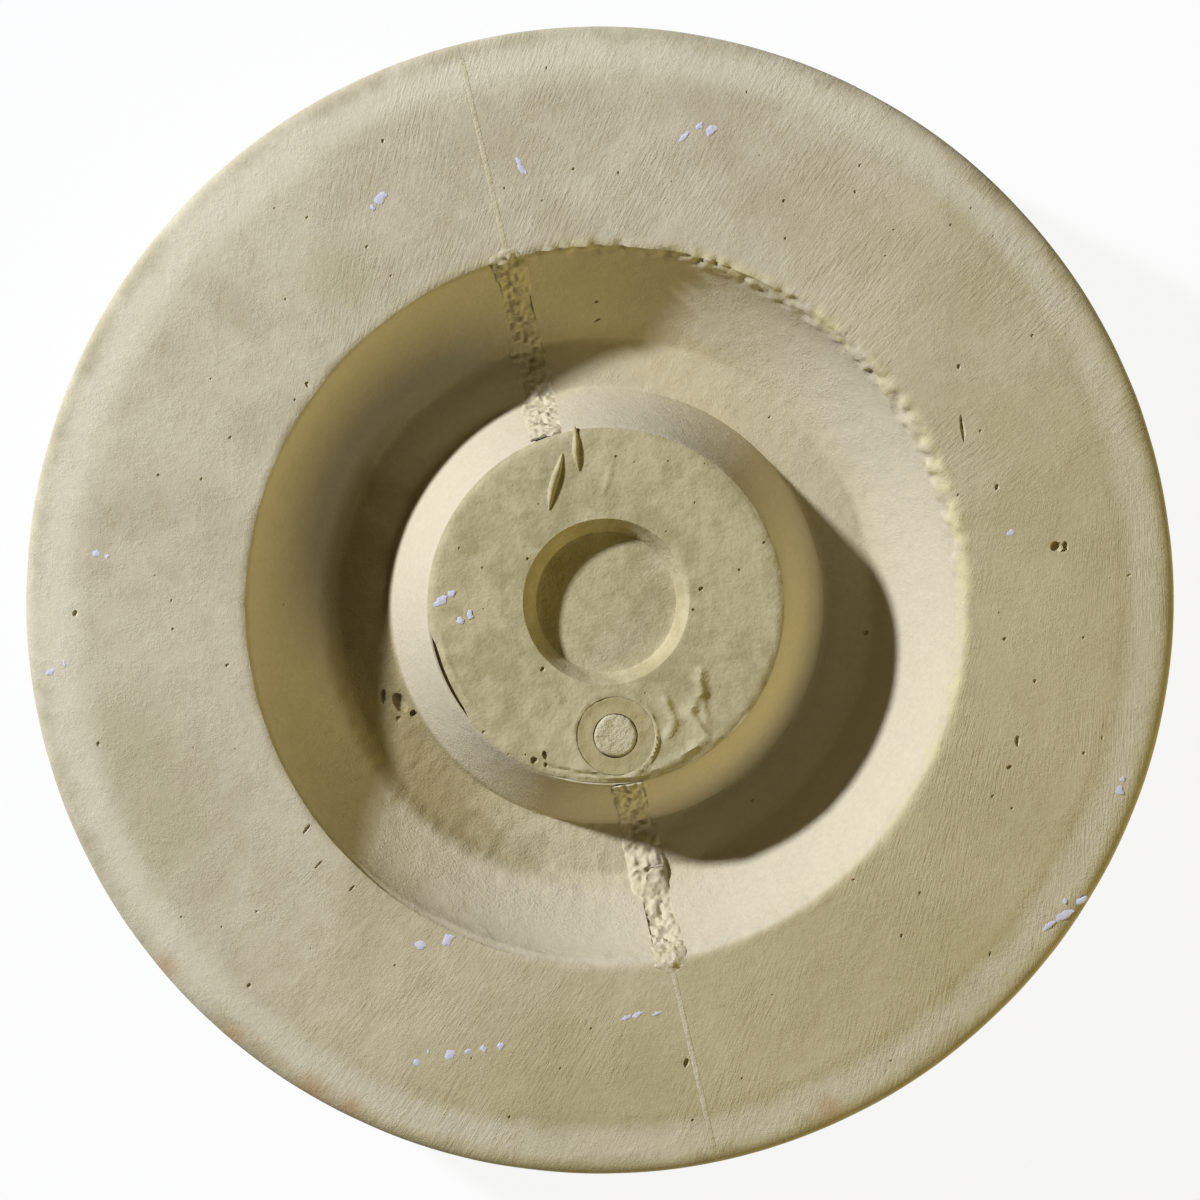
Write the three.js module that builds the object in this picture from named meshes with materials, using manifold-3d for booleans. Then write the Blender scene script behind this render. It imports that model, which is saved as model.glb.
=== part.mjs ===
// Round two-part plaster mould with a ring-shaped cavity and a lift-out core plug.
// Millimetres, +Z up, origin at the centre of the base.
// The two halves meet on a plane parallel to YZ. The plug stands in a stepped hole in the middle.

import * as THREE from 'three';
import { mergeVertices } from 'three/addons/utils/BufferGeometryUtils.js';
import Module from 'manifold-3d';

const wasm = await Module();
wasm.setup();

// Mould block
const bodyRadius = 169;
const bodyHeight = 70;
const bevelWidth = 13.5; // worn slope round the outside of the face
const bevelDrop = 1.5;
const edgeWidth = 4; // rounded edge outside the bevel
const edgeDrop = 3.2;
const baseChamfer = 2;

// Cavity, which sits a little off the middle of the block
const cavityX = 1.2;
const cavityY = -2.1;
const cavityDepth = 31;
const rimRadius = 106.2;
const lipWidth = 2.8;
const lipDrop = 3.2;
const wallFootRadius = 80.5;
const wallSteepness = 0.13; // inward share of the wall's run at its control point
const wallSag = 0.5; // downward share of the wall's fall at its control point
const bossFootRadius = 65.6;
const bossTopRadius = 52.6;

// Core plug in the boss
const bossLand = 0.6; // width of plaster left round the plug at the boss top
const plugClearance = 0.3;
const plugProud = 0.8;
const flangeDepth = 8;
const flangeChamfer = 1.2;
const spigotTopRadius = 36;
const spigotFootRadius = 33;
const spigotLift = 1.5; // foot of the plug above the base plane
const recessRadius = 24.65;
const recessFloorRadius = 20.5;
const recessDepth = 8;

// Thin fin of flash that stands on the plug's top
const finLength = 17;
const finWidth = 2.4;
const finHeight = 1.6;
const finX = -6.2; // from the plug's middle
const finY = 39;
const finTurn = 65; // degrees from +X
const finRoot = 1; // how deep it starts below the plug's top

// Round key in the plug's top
const keyShift = -0.8; // from the seam line
const keyCupRadius = 11.45;
const keyCupBore = 6.8;
const keyCoreRadius = 6.5;
const keyDepth = 5.5;
const keyCupSunk = 0.6;
const keyCoreProud = 0.4;

// Parting plane and the plaster run into it
const seamOffset = -3.8;
const seamGap = 0.3;
const fillHalfWidth = 4;
const stripHalfWidth = 2;
const fillDepth = 2.6;
const fillProud = 1.6;
const fillTongue = 4; // flush plaster past the rim on the face
const stripEndMargin = 5; // from the outside of the block
const fillTopMargin = 1; // below the boss top

// Locating keys (natches) across the parting plane
const natchFlangeRadius = 8.5;
const natchFlangeThickness = 2;
const natchStemRadius = 6;
const natchStemLength = 10;
const natchDomeRadius = 6;
const natchDomeHeight = 6.5;
const natchCupLength = 11;

const fitClearance = 0.3; // between pieces set into plaster
const cutMargin = 10; // how far cutting shapes pass the faces they cut
const blockSegments = 80;
const keySegments = 32;
const natchSegments = 20;
const arcSteps = 4;
const wallSteps = 7;

// Worked out from the sizes above
const floorHeight = bodyHeight - cavityDepth;
const topHeight = bodyHeight + cutMargin;
const rebateRadius = bossTopRadius - bossLand;
const flangeRadius = rebateRadius - plugClearance;
const flangeSeat = bodyHeight - flangeDepth;
const plugTop = bodyHeight + plugProud;
const seamToCavity = seamOffset - cavityX;
const faceRadius = bodyRadius - edgeWidth - bevelWidth;
const keyOrbit = (recessRadius + flangeRadius) / 2;
const keyX = cavityX + seamToCavity + keyShift;
const keyY = cavityY - Math.sqrt(keyOrbit ** 2 - (keyX - cavityX) ** 2);
const rimWallMiddle = (rimRadius + bodyRadius) / 2;
const underFloorMiddle = (bossFootRadius + wallFootRadius) / 2;

const plaster = { color: 0xb3ab92, roughness: 0.92, metalness: 0 };
const fillPlaster = { color: 0xc9c3b2, roughness: 0.95, metalness: 0 };
const plugPlaster = { color: 0xa99f7e, roughness: 0.9, metalness: 0 };
const keyPlaster = { color: 0x9b9370, roughness: 0.95, metalness: 0 };
const natchPlastic = { color: 0xd8d2c0, roughness: 0.45, metalness: 0 };

// Returns a closed geometry as a solid that can be joined and cut.
function solidOf(geometry) {
  geometry.deleteAttribute('normal');
  geometry.deleteAttribute('uv');
  const merged = mergeVertices(geometry, 1e-4);
  const vertProperties = new Float32Array(merged.attributes.position.array);
  const triVerts = new Uint32Array(merged.index.array);
  return new wasm.Manifold(new wasm.Mesh({ numProp: 3, vertProperties, triVerts }));
}

function geometryOf(solid) {
  const mesh = solid.getMesh();
  const geometry = new THREE.BufferGeometry();
  geometry.setAttribute('position', new THREE.BufferAttribute(mesh.vertProperties, 3));
  geometry.setIndex(new THREE.BufferAttribute(mesh.triVerts, 1));
  return geometry;
}

// A solid of revolution about the vertical line through (x, y), from [radius, height] points.
function turned(profile, x = 0, y = 0) {
  const points = profile.map(([radius, height]) => new THREE.Vector2(radius, height));
  const geometry = new THREE.LatheGeometry(points, blockSegments);
  geometry.rotateX(Math.PI / 2);
  geometry.translate(x, y, 0);
  return solidOf(geometry);
}

// The same about a line along +X, from [radius, distance] points.
function turnedAlongX(profile, x, y, z) {
  const points = profile.map(([radius, distance]) => new THREE.Vector2(radius, distance));
  const geometry = new THREE.LatheGeometry(points, natchSegments);
  geometry.rotateZ(-Math.PI / 2);
  geometry.translate(x, y, z);
  return solidOf(geometry);
}

// An outline of [y, z] points, given thickness along X to both sides of the parting plane.
function slabAcrossSeam(outline, halfWidth) {
  const shape = new THREE.Shape(outline.map(([y, z]) => new THREE.Vector2(y, z)));
  const geometry = new THREE.ExtrudeGeometry(shape, { depth: 2 * halfWidth, bevelEnabled: false });
  const alongY = new THREE.Vector3(0, 1, 0);
  const alongZ = new THREE.Vector3(0, 0, 1);
  const alongX = new THREE.Vector3(1, 0, 0);
  geometry.applyMatrix4(new THREE.Matrix4().makeBasis(alongY, alongZ, alongX));
  geometry.translate(seamOffset - halfWidth, 0, 0);
  return solidOf(geometry);
}

function blockBetween(xLow, xHigh) {
  const side = 2 * (bodyRadius + cutMargin);
  const height = bodyHeight + 2 * cutMargin;
  const geometry = new THREE.BoxGeometry(xHigh - xLow, side, height);
  geometry.translate((xLow + xHigh) / 2, 0, bodyHeight / 2);
  return solidOf(geometry);
}

// Points on a quarter of an ellipse, from (a, 0) to (0, b).
function quarterEllipse(a, b, steps) {
  return Array.from({ length: steps + 1 }, (_, i) => {
    const angle = (i / steps) * (Math.PI / 2);
    return [a * Math.cos(angle), b * Math.sin(angle)];
  });
}

// The cavity wall in section, from the lip down to the floor, as [radius, height] points.
function wallCurve() {
  const top = [rimRadius - lipWidth, bodyHeight - lipDrop];
  const foot = [wallFootRadius, floorHeight];
  const run = top[0] - foot[0];
  const fall = top[1] - foot[1];
  const control = [top[0] - run * wallSteepness, top[1] - fall * wallSag];
  const curve = new THREE.QuadraticBezierCurve(
    new THREE.Vector2(...top),
    new THREE.Vector2(...control),
    new THREE.Vector2(...foot),
  );
  return curve.getPoints(wallSteps).map((point) => [point.x, point.y]);
}

function bodyBlank() {
  const edge = quarterEllipse(edgeWidth, edgeDrop, arcSteps).map(([a, b]) => [
    bodyRadius - edgeWidth + a,
    bodyHeight - bevelDrop - edgeDrop + b,
  ]);
  return turned([
    [0, 0],
    [bodyRadius - baseChamfer, 0],
    [bodyRadius, baseChamfer],
    ...edge,
    [faceRadius, bodyHeight],
    [0, bodyHeight],
  ]);
}

function cavityCutter() {
  const bossRise = (bossFootRadius - bossTopRadius) / cavityDepth;
  const bossAbove = bossTopRadius - bossRise * cutMargin;
  const lipRise = lipWidth / lipDrop;
  return turned(
    [
      [bossFootRadius, floorHeight],
      ...wallCurve().reverse(),
      [rimRadius + lipRise * cutMargin, topHeight],
      [bossAbove, topHeight],
      [bossFootRadius, floorHeight],
    ],
    cavityX,
    cavityY,
  );
}

// The stepped hole that the plug stands in.
function socketCutter() {
  const taper = (spigotTopRadius - spigotFootRadius) / (flangeSeat - spigotLift);
  const mouthRadius = spigotFootRadius + plugClearance - taper * (spigotLift + cutMargin);
  return turned(
    [
      [0, -cutMargin],
      [mouthRadius, -cutMargin],
      [spigotTopRadius + plugClearance, flangeSeat - plugClearance],
      [rebateRadius, flangeSeat - plugClearance],
      [rebateRadius, topHeight],
      [0, topHeight],
    ],
    cavityX,
    cavityY,
  );
}

// Surface of the face, wall, floor and boss where the seam crosses them, for side +1 (rear) or
// -1 (front), as [y, z] points from the face inwards. Both ends run on by grow.
function seamSection(side, grow) {
  const along = (radius) => cavityY + side * Math.sqrt(radius ** 2 - seamToCavity ** 2);
  const bossRise = (bossFootRadius - bossTopRadius) / cavityDepth;
  const belowTop = fillTopMargin - grow;
  const points = [
    [rimRadius + fillTongue + grow, bodyHeight],
    [rimRadius, bodyHeight],
    ...wallCurve(),
    [bossFootRadius, floorHeight],
    [bossTopRadius + bossRise * belowTop, bodyHeight - belowTop],
  ];
  return points.map(([radius, z]) => [along(radius), z]);
}

// The section moved square to itself; each corner is mitred.
function offsetSection(points, distance) {
  return points.map((point, i) => {
    const before = points[Math.max(i - 1, 0)];
    const after = points[Math.min(i + 1, points.length - 1)];
    const normalIn = squareTo(before, point) ?? squareTo(point, after);
    const normalOut = squareTo(point, after) ?? normalIn;
    const mitre = [normalIn[0] + normalOut[0], normalIn[1] + normalOut[1]];
    const scale = (2 * distance) / (mitre[0] ** 2 + mitre[1] ** 2);
    return [point[0] + mitre[0] * scale, point[1] + mitre[1] * scale];
  });
}

function squareTo([y0, z0], [y1, z1]) {
  const length = Math.hypot(y1 - y0, z1 - z0);
  return length > 0 ? [-(z1 - z0) / length, (y1 - y0) / length] : null;
}

// The room that the plaster in the seam takes on one side: a bead in the cavity and a flush strip
// on the face. The groove for it is the same shape, grown.
function fillShape(side, grow) {
  const section = seamSection(side, grow);
  const proud = offsetSection(section, -side * (fillProud + grow));
  const sunk = offsetSection(section, side * (fillDepth + grow));
  const bead = slabAcrossSeam([...proud, ...sunk.reverse()], fillHalfWidth + grow);
  const inner = cavityY * side + rimRadius + fillTongue / 2;
  const outer = bodyRadius - stripEndMargin + grow;
  const endTop = bodyHeight - (outer - faceRadius) * (bevelDrop / bevelWidth) + grow;
  const stripDepth = fillDepth + 2 * grow;
  const strip = slabAcrossSeam(
    [
      [side * inner, bodyHeight + grow],
      [side * faceRadius, bodyHeight + grow],
      [side * outer, endTop],
      [side * outer, endTop - stripDepth],
      [side * inner, bodyHeight + grow - stripDepth],
    ],
    stripHalfWidth + grow,
  );
  return bead.subtract(blockAbove(bodyHeight + grow)).add(strip);
}

// The plaster itself, which stops at the plug's rebate.
function fillSolid(side) {
  const rebate = turned(
    [[0, -cutMargin], [rebateRadius, -cutMargin], [rebateRadius, topHeight], [0, topHeight]],
    cavityX,
    cavityY,
  );
  return fillShape(side, 0).subtract(rebate);
}

function blockAbove(height) {
  const side = 2 * (bodyRadius + cutMargin);
  const geometry = new THREE.BoxGeometry(side, side, 2 * cutMargin);
  geometry.translate(0, 0, height + cutMargin);
  return solidOf(geometry);
}

function plugSolid() {
  const blank = turned(
    [
      [0, spigotLift],
      [spigotFootRadius, spigotLift],
      [spigotTopRadius, flangeSeat],
      [flangeRadius, flangeSeat],
      [flangeRadius, plugTop - flangeChamfer],
      [flangeRadius - flangeChamfer, plugTop],
      [recessRadius, plugTop],
      [recessFloorRadius, plugTop - recessDepth],
      [0, plugTop - recessDepth],
    ],
    cavityX,
    cavityY,
  );
  const keyHole = discAt(keyCupRadius + fitClearance, plugTop - keyDepth - fitClearance, topHeight);
  return blank.subtract(keyHole).add(finSolid());
}

// A long narrow pyramid, highest in its middle, rooted in the plug.
function finSolid() {
  const rise = finHeight + finRoot;
  const geometry = new THREE.ConeGeometry(0.5, rise, 4);
  geometry.rotateX(Math.PI / 2);
  geometry.scale(finLength, finWidth, 1);
  geometry.rotateZ(THREE.MathUtils.degToRad(finTurn));
  geometry.translate(cavityX + finX, cavityY + finY, plugTop - finRoot + rise / 2);
  return solidOf(geometry);
}

function discAt(radius, low, high) {
  const geometry = new THREE.CylinderGeometry(radius, radius, high - low, keySegments);
  geometry.rotateX(Math.PI / 2);
  geometry.translate(keyX, keyY, (low + high) / 2);
  return solidOf(geometry);
}

function keyCupSolid() {
  const low = plugTop - keyDepth;
  const high = plugTop - keyCupSunk;
  return discAt(keyCupRadius, low, high).subtract(discAt(keyCupBore, low - 1, high + 1));
}

function keyCoreSolid() {
  return discAt(keyCoreRadius, plugTop - keyDepth, plugTop + keyCoreProud);
}

// Male natch: a stem and flange set in the left half, with a dome across the parting plane.
function natchPinProfile(grow) {
  return [
    [0, -natchFlangeThickness - natchStemLength - grow],
    [natchStemRadius + grow, -natchFlangeThickness - natchStemLength - grow],
    [natchStemRadius + grow, -natchFlangeThickness - grow],
    [natchFlangeRadius + grow, -natchFlangeThickness - grow],
  ];
}

function natchPinSolid(spot) {
  const dome = quarterEllipse(natchDomeRadius, natchDomeHeight, arcSteps);
  const profile = [...natchPinProfile(0), [natchFlangeRadius, 0], ...dome];
  return turnedAlongX(profile, seamOffset - seamGap / 2, spot.y, spot.z);
}

function natchPinHole(spot) {
  const profile = [
    ...natchPinProfile(fitClearance),
    [natchFlangeRadius + fitClearance, 1],
    [0, 1],
  ];
  return turnedAlongX(profile, seamOffset - seamGap / 2, spot.y, spot.z);
}

// Female natch: a cup set in the right half, bored to take the dome.
function natchCupSolid(spot) {
  const bore = quarterEllipse(
    natchDomeRadius + fitClearance,
    natchDomeHeight - seamGap + fitClearance,
    arcSteps,
  );
  const profile = [...bore.reverse(), [natchFlangeRadius, 0], [natchFlangeRadius, natchCupLength]];
  profile.push([0, natchCupLength]);
  return turnedAlongX(profile, seamOffset + seamGap / 2, spot.y, spot.z);
}

function natchCupHole(spot) {
  const radius = natchFlangeRadius + fitClearance;
  const depth = natchCupLength + fitClearance;
  const profile = [[0, -1], [radius, -1], [radius, depth], [0, depth]];
  return turnedAlongX(profile, seamOffset + seamGap / 2, spot.y, spot.z);
}

const natchSpots = [
  { name: 'rear_outer', y: rimWallMiddle, z: bodyHeight / 2 },
  { name: 'rear_inner', y: underFloorMiddle, z: floorHeight / 2 },
  { name: 'front_outer', y: -rimWallMiddle, z: bodyHeight / 2 },
  { name: 'front_inner', y: -underFloorMiddle, z: floorHeight / 2 },
];

const reach = bodyRadius + cutMargin;
const carved = bodyBlank()
  .subtract(cavityCutter())
  .subtract(socketCutter())
  .subtract(fillShape(1, fitClearance))
  .subtract(fillShape(-1, fitClearance));

function leftHalfSolid() {
  let half = carved.intersect(blockBetween(-reach, seamOffset - seamGap / 2));
  for (const spot of natchSpots) {
    half = half.subtract(natchPinHole(spot));
  }
  return half;
}

function rightHalfSolid() {
  let half = carved.intersect(blockBetween(seamOffset + seamGap / 2, reach));
  for (const spot of natchSpots) {
    half = half.subtract(natchCupHole(spot));
  }
  return half;
}

function piece(name, solid, look) {
  const mesh = new THREE.Mesh(geometryOf(solid), new THREE.MeshStandardMaterial(look));
  mesh.name = name;
  return mesh;
}

const mould = new THREE.Group();
mould.add(piece('mould_half_left', leftHalfSolid(), plaster));
mould.add(piece('mould_half_right', rightHalfSolid(), plaster));
mould.add(piece('seam_fill_rear', fillSolid(1), fillPlaster));
mould.add(piece('seam_fill_front', fillSolid(-1), fillPlaster));
mould.add(piece('core_plug', plugSolid(), plugPlaster));
mould.add(piece('key_cup', keyCupSolid(), keyPlaster));
mould.add(piece('key_core', keyCoreSolid(), keyPlaster));
for (const spot of natchSpots) {
  mould.add(piece(`natch_pin_${spot.name}`, natchPinSolid(spot), natchPlastic));
  mould.add(piece(`natch_cup_${spot.name}`, natchCupSolid(spot), natchPlastic));
}

export default mould;
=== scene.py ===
import math
import bpy
import numpy as np
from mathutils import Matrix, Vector
from mathutils.geometry import delaunay_2d_cdt


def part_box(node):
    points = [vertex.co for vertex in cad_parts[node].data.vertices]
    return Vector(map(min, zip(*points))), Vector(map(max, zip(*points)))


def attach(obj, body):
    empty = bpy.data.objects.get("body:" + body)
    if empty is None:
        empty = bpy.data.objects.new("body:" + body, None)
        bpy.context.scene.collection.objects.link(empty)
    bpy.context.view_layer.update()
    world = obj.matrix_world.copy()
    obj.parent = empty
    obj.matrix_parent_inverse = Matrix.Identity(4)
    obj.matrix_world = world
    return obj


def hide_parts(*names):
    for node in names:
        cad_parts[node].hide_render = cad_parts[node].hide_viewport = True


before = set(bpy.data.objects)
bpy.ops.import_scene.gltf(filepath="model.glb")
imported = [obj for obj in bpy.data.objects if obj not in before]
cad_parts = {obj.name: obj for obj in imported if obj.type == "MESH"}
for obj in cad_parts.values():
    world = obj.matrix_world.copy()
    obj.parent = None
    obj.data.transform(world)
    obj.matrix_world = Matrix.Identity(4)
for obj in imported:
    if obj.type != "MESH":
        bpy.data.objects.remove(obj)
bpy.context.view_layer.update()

# A round plaster mould in two halves, with a ring-shaped cavity, plaster run into the seam and a
# lift-out core plug. Sizes are in millimetres and are turned to metres where a mesh is made.
metre = 0.001


def cadBox(name):
    low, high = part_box(name)
    return np.array(low) / metre, np.array(high) / metre


leftHigh = cadBox("mould_half_left")[1]
rightLow, rightHigh = cadBox("mould_half_right")
plugLow, plugHigh = cadBox("core_plug")
keyLow, keyHigh = cadBox("key_cup")
coreLow, coreHigh = cadBox("key_core")

seamX = (leftHigh[0] + rightLow[0]) / 2
seamGap = rightLow[0] - leftHigh[0]
blockRadius = rightHigh[0]
faceHeight = rightHigh[2]
cavityX, cavityY = (plugLow[:2] + plugHigh[:2]) / 2
flangeRadius = (plugHigh[0] - plugLow[0]) / 2
plugFoot = plugLow[2]
keyX, keyY = (keyLow[:2] + keyHigh[:2]) / 2
keyRadius = (keyHigh[0] - keyLow[0]) / 2
keySeat = keyLow[2]
coreRadius = (coreHigh[0] - coreLow[0]) / 2
coreTop = coreHigh[2]

# sizes of the block and its cavity that both halves share
block = {
    "edgeWidth": 4, "edgeDrop": 3.2, "bevelWidth": 13.5, "bevelDrop": 1.5, "baseChamfer": 2,
    "rimRadius": 106.2, "lipWidth": 2.8, "lipDrop": 3.2, "cavityDepth": 31,
    "wallFoot": 80.5, "wallSteepness": 0.13, "wallSag": 0.5,
    "bossFoot": 65.6, "bossTop": 52.6, "rebate": 51.76, "rebateDepth": 8.3,
    "socketTop": 36.3, "socketFoot": 33.2,
    "visibleRow": 1.05, "lipRow": 0.62, "hiddenRow": 7, "columns": 400,
    "cornerRound": 0.38,
}
floorHeight = faceHeight - block["cavityDepth"]


# Smooth random values from -1 to 1 on a lattice with the given cell size.
def cellNoise(points, size, seed=0):
    cell = points / size + 1000.0 + 17.31 * seed
    base = np.floor(cell).astype(np.int64)
    part = cell - base
    part = part * part * (3 - 2 * part)
    total = np.zeros(len(points))
    for corner in range(8):
        step = np.array([corner & 1, corner >> 1 & 1, corner >> 2 & 1])
        at = base + step
        mixed = (at[:, 0] * 73856093) ^ (at[:, 1] * 19349663) ^ (at[:, 2] * 83492791)
        mixed = (mixed ^ (mixed >> 13)) * 1274126177 & 0x7FFFFFFF
        mixed = (mixed ^ (mixed >> 16)) & 0xFFFFF
        value = mixed / 0x7FFFF - 1.0
        weight = np.prod(np.where(step == 1, part, 1 - part), axis=1)
        total += value * weight
    return total


def smoothStep(low, high, value):
    part = np.clip((np.asarray(value, float) - low) / (high - low), 0, 1)
    return part * part * (3 - 2 * part)


# A section as rows of [radius, height]: corners are joined by lines, rounded a little, and then
# cut at the row spacing that each stretch asks for.
def sectionRows(corners, spacings, cornerRound, closed):
    fine = 0.2
    pieces, marks = [], []
    last = len(corners) if closed else len(corners) - 1
    for i in range(last):
        a, b = np.array(corners[i]), np.array(corners[(i + 1) % len(corners)])
        count = max(2, int(np.ceil(np.linalg.norm(b - a) / fine)))
        share = np.arange(count)[:, None] / count
        pieces.append(a + (b - a) * share)
        marks.append(np.full(count, i))
    line, mark = np.vstack(pieces), np.concatenate(marks)
    reach = int(3 * cornerRound / fine)
    offsets = np.arange(-reach, reach + 1)
    bell = np.exp(-0.5 * (offsets * fine / cornerRound) ** 2)
    bell /= bell.sum()
    if closed:
        padded = np.vstack([line[-reach:], line, line[:reach]])
    else:
        line = np.vstack([line, corners[-1]])
        mark = np.append(mark, mark[-1])
        before = 2 * line[0] - line[1:reach + 1][::-1]
        after = 2 * line[-1] - line[-reach - 1:-1][::-1]
        padded = np.vstack([before, line, after])
    smooth = np.stack([np.convolve(padded[:, k], bell, "valid") for k in (0, 1)], axis=1)
    chosen, travelled = [0], 0.0
    for i in range(1, len(smooth)):
        travelled += np.linalg.norm(smooth[i] - smooth[i - 1])
        if travelled >= spacings[mark[i]]:
            chosen.append(i)
            travelled = 0.0
    if not closed and chosen[-1] != len(smooth) - 1:
        chosen.append(len(smooth) - 1)
    return smooth[chosen], mark[chosen]


# Square to a closed or open section, pointing out of the material, averaged over some rows.
def sectionNormals(rows, spread):
    ahead, behind = np.roll(rows, -1, axis=0), np.roll(rows, 1, axis=0)
    along = ahead - behind
    normal = np.stack([-along[:, 1], along[:, 0]], axis=1)
    normal /= np.maximum(np.linalg.norm(normal, axis=1, keepdims=True), 1e-9)
    for _ in range(spread):
        normal = normal + np.roll(normal, 1, axis=0) + np.roll(normal, -1, axis=0)
        normal /= np.maximum(np.linalg.norm(normal, axis=1, keepdims=True), 1e-9)
    return normal


def wallCurve(steps=40):
    top = np.array([block["rimRadius"] - block["lipWidth"], faceHeight - block["lipDrop"]])
    foot = np.array([block["wallFoot"], floorHeight])
    run, fall = top - foot
    control = top - np.array([run * block["wallSteepness"], fall * block["wallSag"]])
    t = np.linspace(0, 1, steps)[:, None]
    return (1 - t) ** 2 * top + 2 * t * (1 - t) * control + t ** 2 * foot


def quadRing(rowCount, columnCount, closedRows, closedColumns):
    lastRow = rowCount if closedRows else rowCount - 1
    lastColumn = columnCount if closedColumns else columnCount - 1
    i, j = np.meshgrid(np.arange(lastRow), np.arange(lastColumn), indexing="ij")
    nextRow, nextColumn = (i + 1) % rowCount, (j + 1) % columnCount
    corners = [i * columnCount + j, i * columnCount + nextColumn,
               nextRow * columnCount + nextColumn, nextRow * columnCount + j]
    return np.stack(corners, axis=-1).reshape(-1, 4)


# A mesh object from points in millimetres and faces; it is turned so that its faces look outwards.
def meshObject(name, points, faces):
    faces = [list(map(int, face)) for face in faces]
    mesh = bpy.data.meshes.new(name)
    mesh.from_pydata((np.asarray(points) * metre).tolist(), [], faces)
    mesh.update()
    mesh.calc_loop_triangles()
    where = np.array([vertex.co for vertex in mesh.vertices])
    tris = np.array([triangle.vertices for triangle in mesh.loop_triangles])
    a, b, c = where[tris[:, 0]], where[tris[:, 1]], where[tris[:, 2]]
    if np.einsum("ij,ij->i", a, np.cross(b, c)).sum() < 0:
        mesh.flip_normals()
    piece = bpy.data.objects.new(name, mesh)
    bpy.context.scene.collection.objects.link(piece)
    return piece


def finishMesh(piece, sharpAngle=42):
    for polygon in piece.data.polygons:
        polygon.use_smooth = True
    piece.data.set_sharp_from_angle(angle=math.radians(sharpAngle))
    return piece


# Replaces a piece's mesh by what its modifiers make of it, and drops the modifiers.
def applyModifiers(piece):
    graph = bpy.context.evaluated_depsgraph_get()
    made = bpy.data.meshes.new_from_object(piece.evaluated_get(graph))
    piece.modifiers.clear()
    old = piece.data
    piece.data = made
    made.name = piece.name
    bpy.data.meshes.remove(old)
    return piece


def cutWith(piece, cutter, operation="DIFFERENCE"):
    change = piece.modifiers.new("cut", "BOOLEAN")
    change.operation = operation
    change.solver = "MANIFOLD"
    change.object = cutter
    applyModifiers(piece)
    bpy.data.objects.remove(cutter)


# One mesh of many turned bodies, each a list of [radius, distance] points about an axis.
def turnedBody(name, profile, origin, axis, segments):
    axis = np.array(axis, float)
    side = np.array([0.0, 1.0, 0.0]) if abs(axis[1]) < 0.9 else np.array([1.0, 0.0, 0.0])
    side -= axis * side.dot(axis)
    other = np.cross(axis, side)
    points, faces, rings = [], [], []
    for radius, distance in profile:
        centre = np.array(origin, float) + axis * distance
        if radius < 1e-6:
            rings.append([len(points)])
            points.append(centre)
            continue
        start = len(points)
        for k in range(segments):
            angle = 2 * math.pi * k / segments
            points.append(centre + radius * (side * math.cos(angle) + other * math.sin(angle)))
        rings.append(list(range(start, start + segments)))
    for low, high in zip(rings, rings[1:]):
        for k in range(segments):
            after = (k + 1) % segments
            if len(low) == 1:
                faces.append([low[0], high[after], high[k]])
            elif len(high) == 1:
                faces.append([low[k], low[after], high[0]])
            else:
                faces.append([low[k], low[after], high[after], high[k]])
    return meshObject(name, points, faces)


def linear(hexColour):
    parts = [int(hexColour[i:i + 2], 16) / 255 for i in (0, 2, 4)]
    return [p / 12.92 if p <= 0.04045 else ((p + 0.055) / 1.055) ** 2.4 for p in parts] + [1.0]


# Adds a node and gives back its outputs. Values or sockets go to its inputs in order, or by name
# or number from a dictionary, and keyword settings are its own.
def addNode(tree, kind, *values, **settings):
    made = tree.nodes.new(kind)
    for name, value in settings.items():
        setattr(made, name, value)
    byName = bool(values) and isinstance(values[0], dict)
    for key, value in (values[0] if byName else dict(enumerate(values))).items():
        if isinstance(value, bpy.types.NodeSocket):
            tree.links.new(value, made.inputs[key])
        else:
            made.inputs[key].default_value = value
    return made.outputs


def newMaterial(name, roughness, ior):
    material = bpy.data.materials.new(name)
    material.use_nodes = True
    tree = material.node_tree
    shader = tree.nodes["Principled BSDF"]
    shader.inputs["Roughness"].default_value = roughness
    shader.inputs["IOR"].default_value = ior
    shader.inputs["Specular IOR Level"].default_value = 0.25
    return material, tree, shader


def distanceFrom(tree, place, x, y):
    flat = addNode(tree, "ShaderNodeVectorMath", place, (1, 1, 0), operation="MULTIPLY")
    made = addNode(tree, "ShaderNodeVectorMath", flat[0], (x * metre, y * metre, 0),
        operation="DISTANCE")
    return made["Value"]


# Long thin noise that fans out from a far point, for strokes left by a scraper.
def fannedNoise(tree, place, centre, reach, across, along):
    offset = addNode(tree, "ShaderNodeVectorMath", place,
        (centre[0] * metre, centre[1] * metre, 0), operation="SUBTRACT")
    parts = addNode(tree, "ShaderNodeSeparateXYZ", offset[0])
    angle = addNode(tree, "ShaderNodeMath", parts[1], parts[0], operation="ARCTAN2")[0]
    out = addNode(tree, "ShaderNodeVectorMath", offset[0], (1, 1, 0), operation="MULTIPLY")
    far = addNode(tree, "ShaderNodeVectorMath", out[0], operation="LENGTH")
    sideways = addNode(tree, "ShaderNodeMath", angle, reach / across, operation="MULTIPLY")[0]
    lengthways = addNode(tree, "ShaderNodeMath", far["Value"], 1 / (along * metre),
        operation="MULTIPLY")[0]
    strokes = addNode(tree, "ShaderNodeCombineXYZ", sideways, lengthways, 0.0)
    made = addNode(tree, "ShaderNodeTexNoise",
        {"Vector": strokes[0], "Scale": 1.0, "Detail": 2.0, "Roughness": 0.6, "Distortion": 0.35})
    return made[0]


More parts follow.
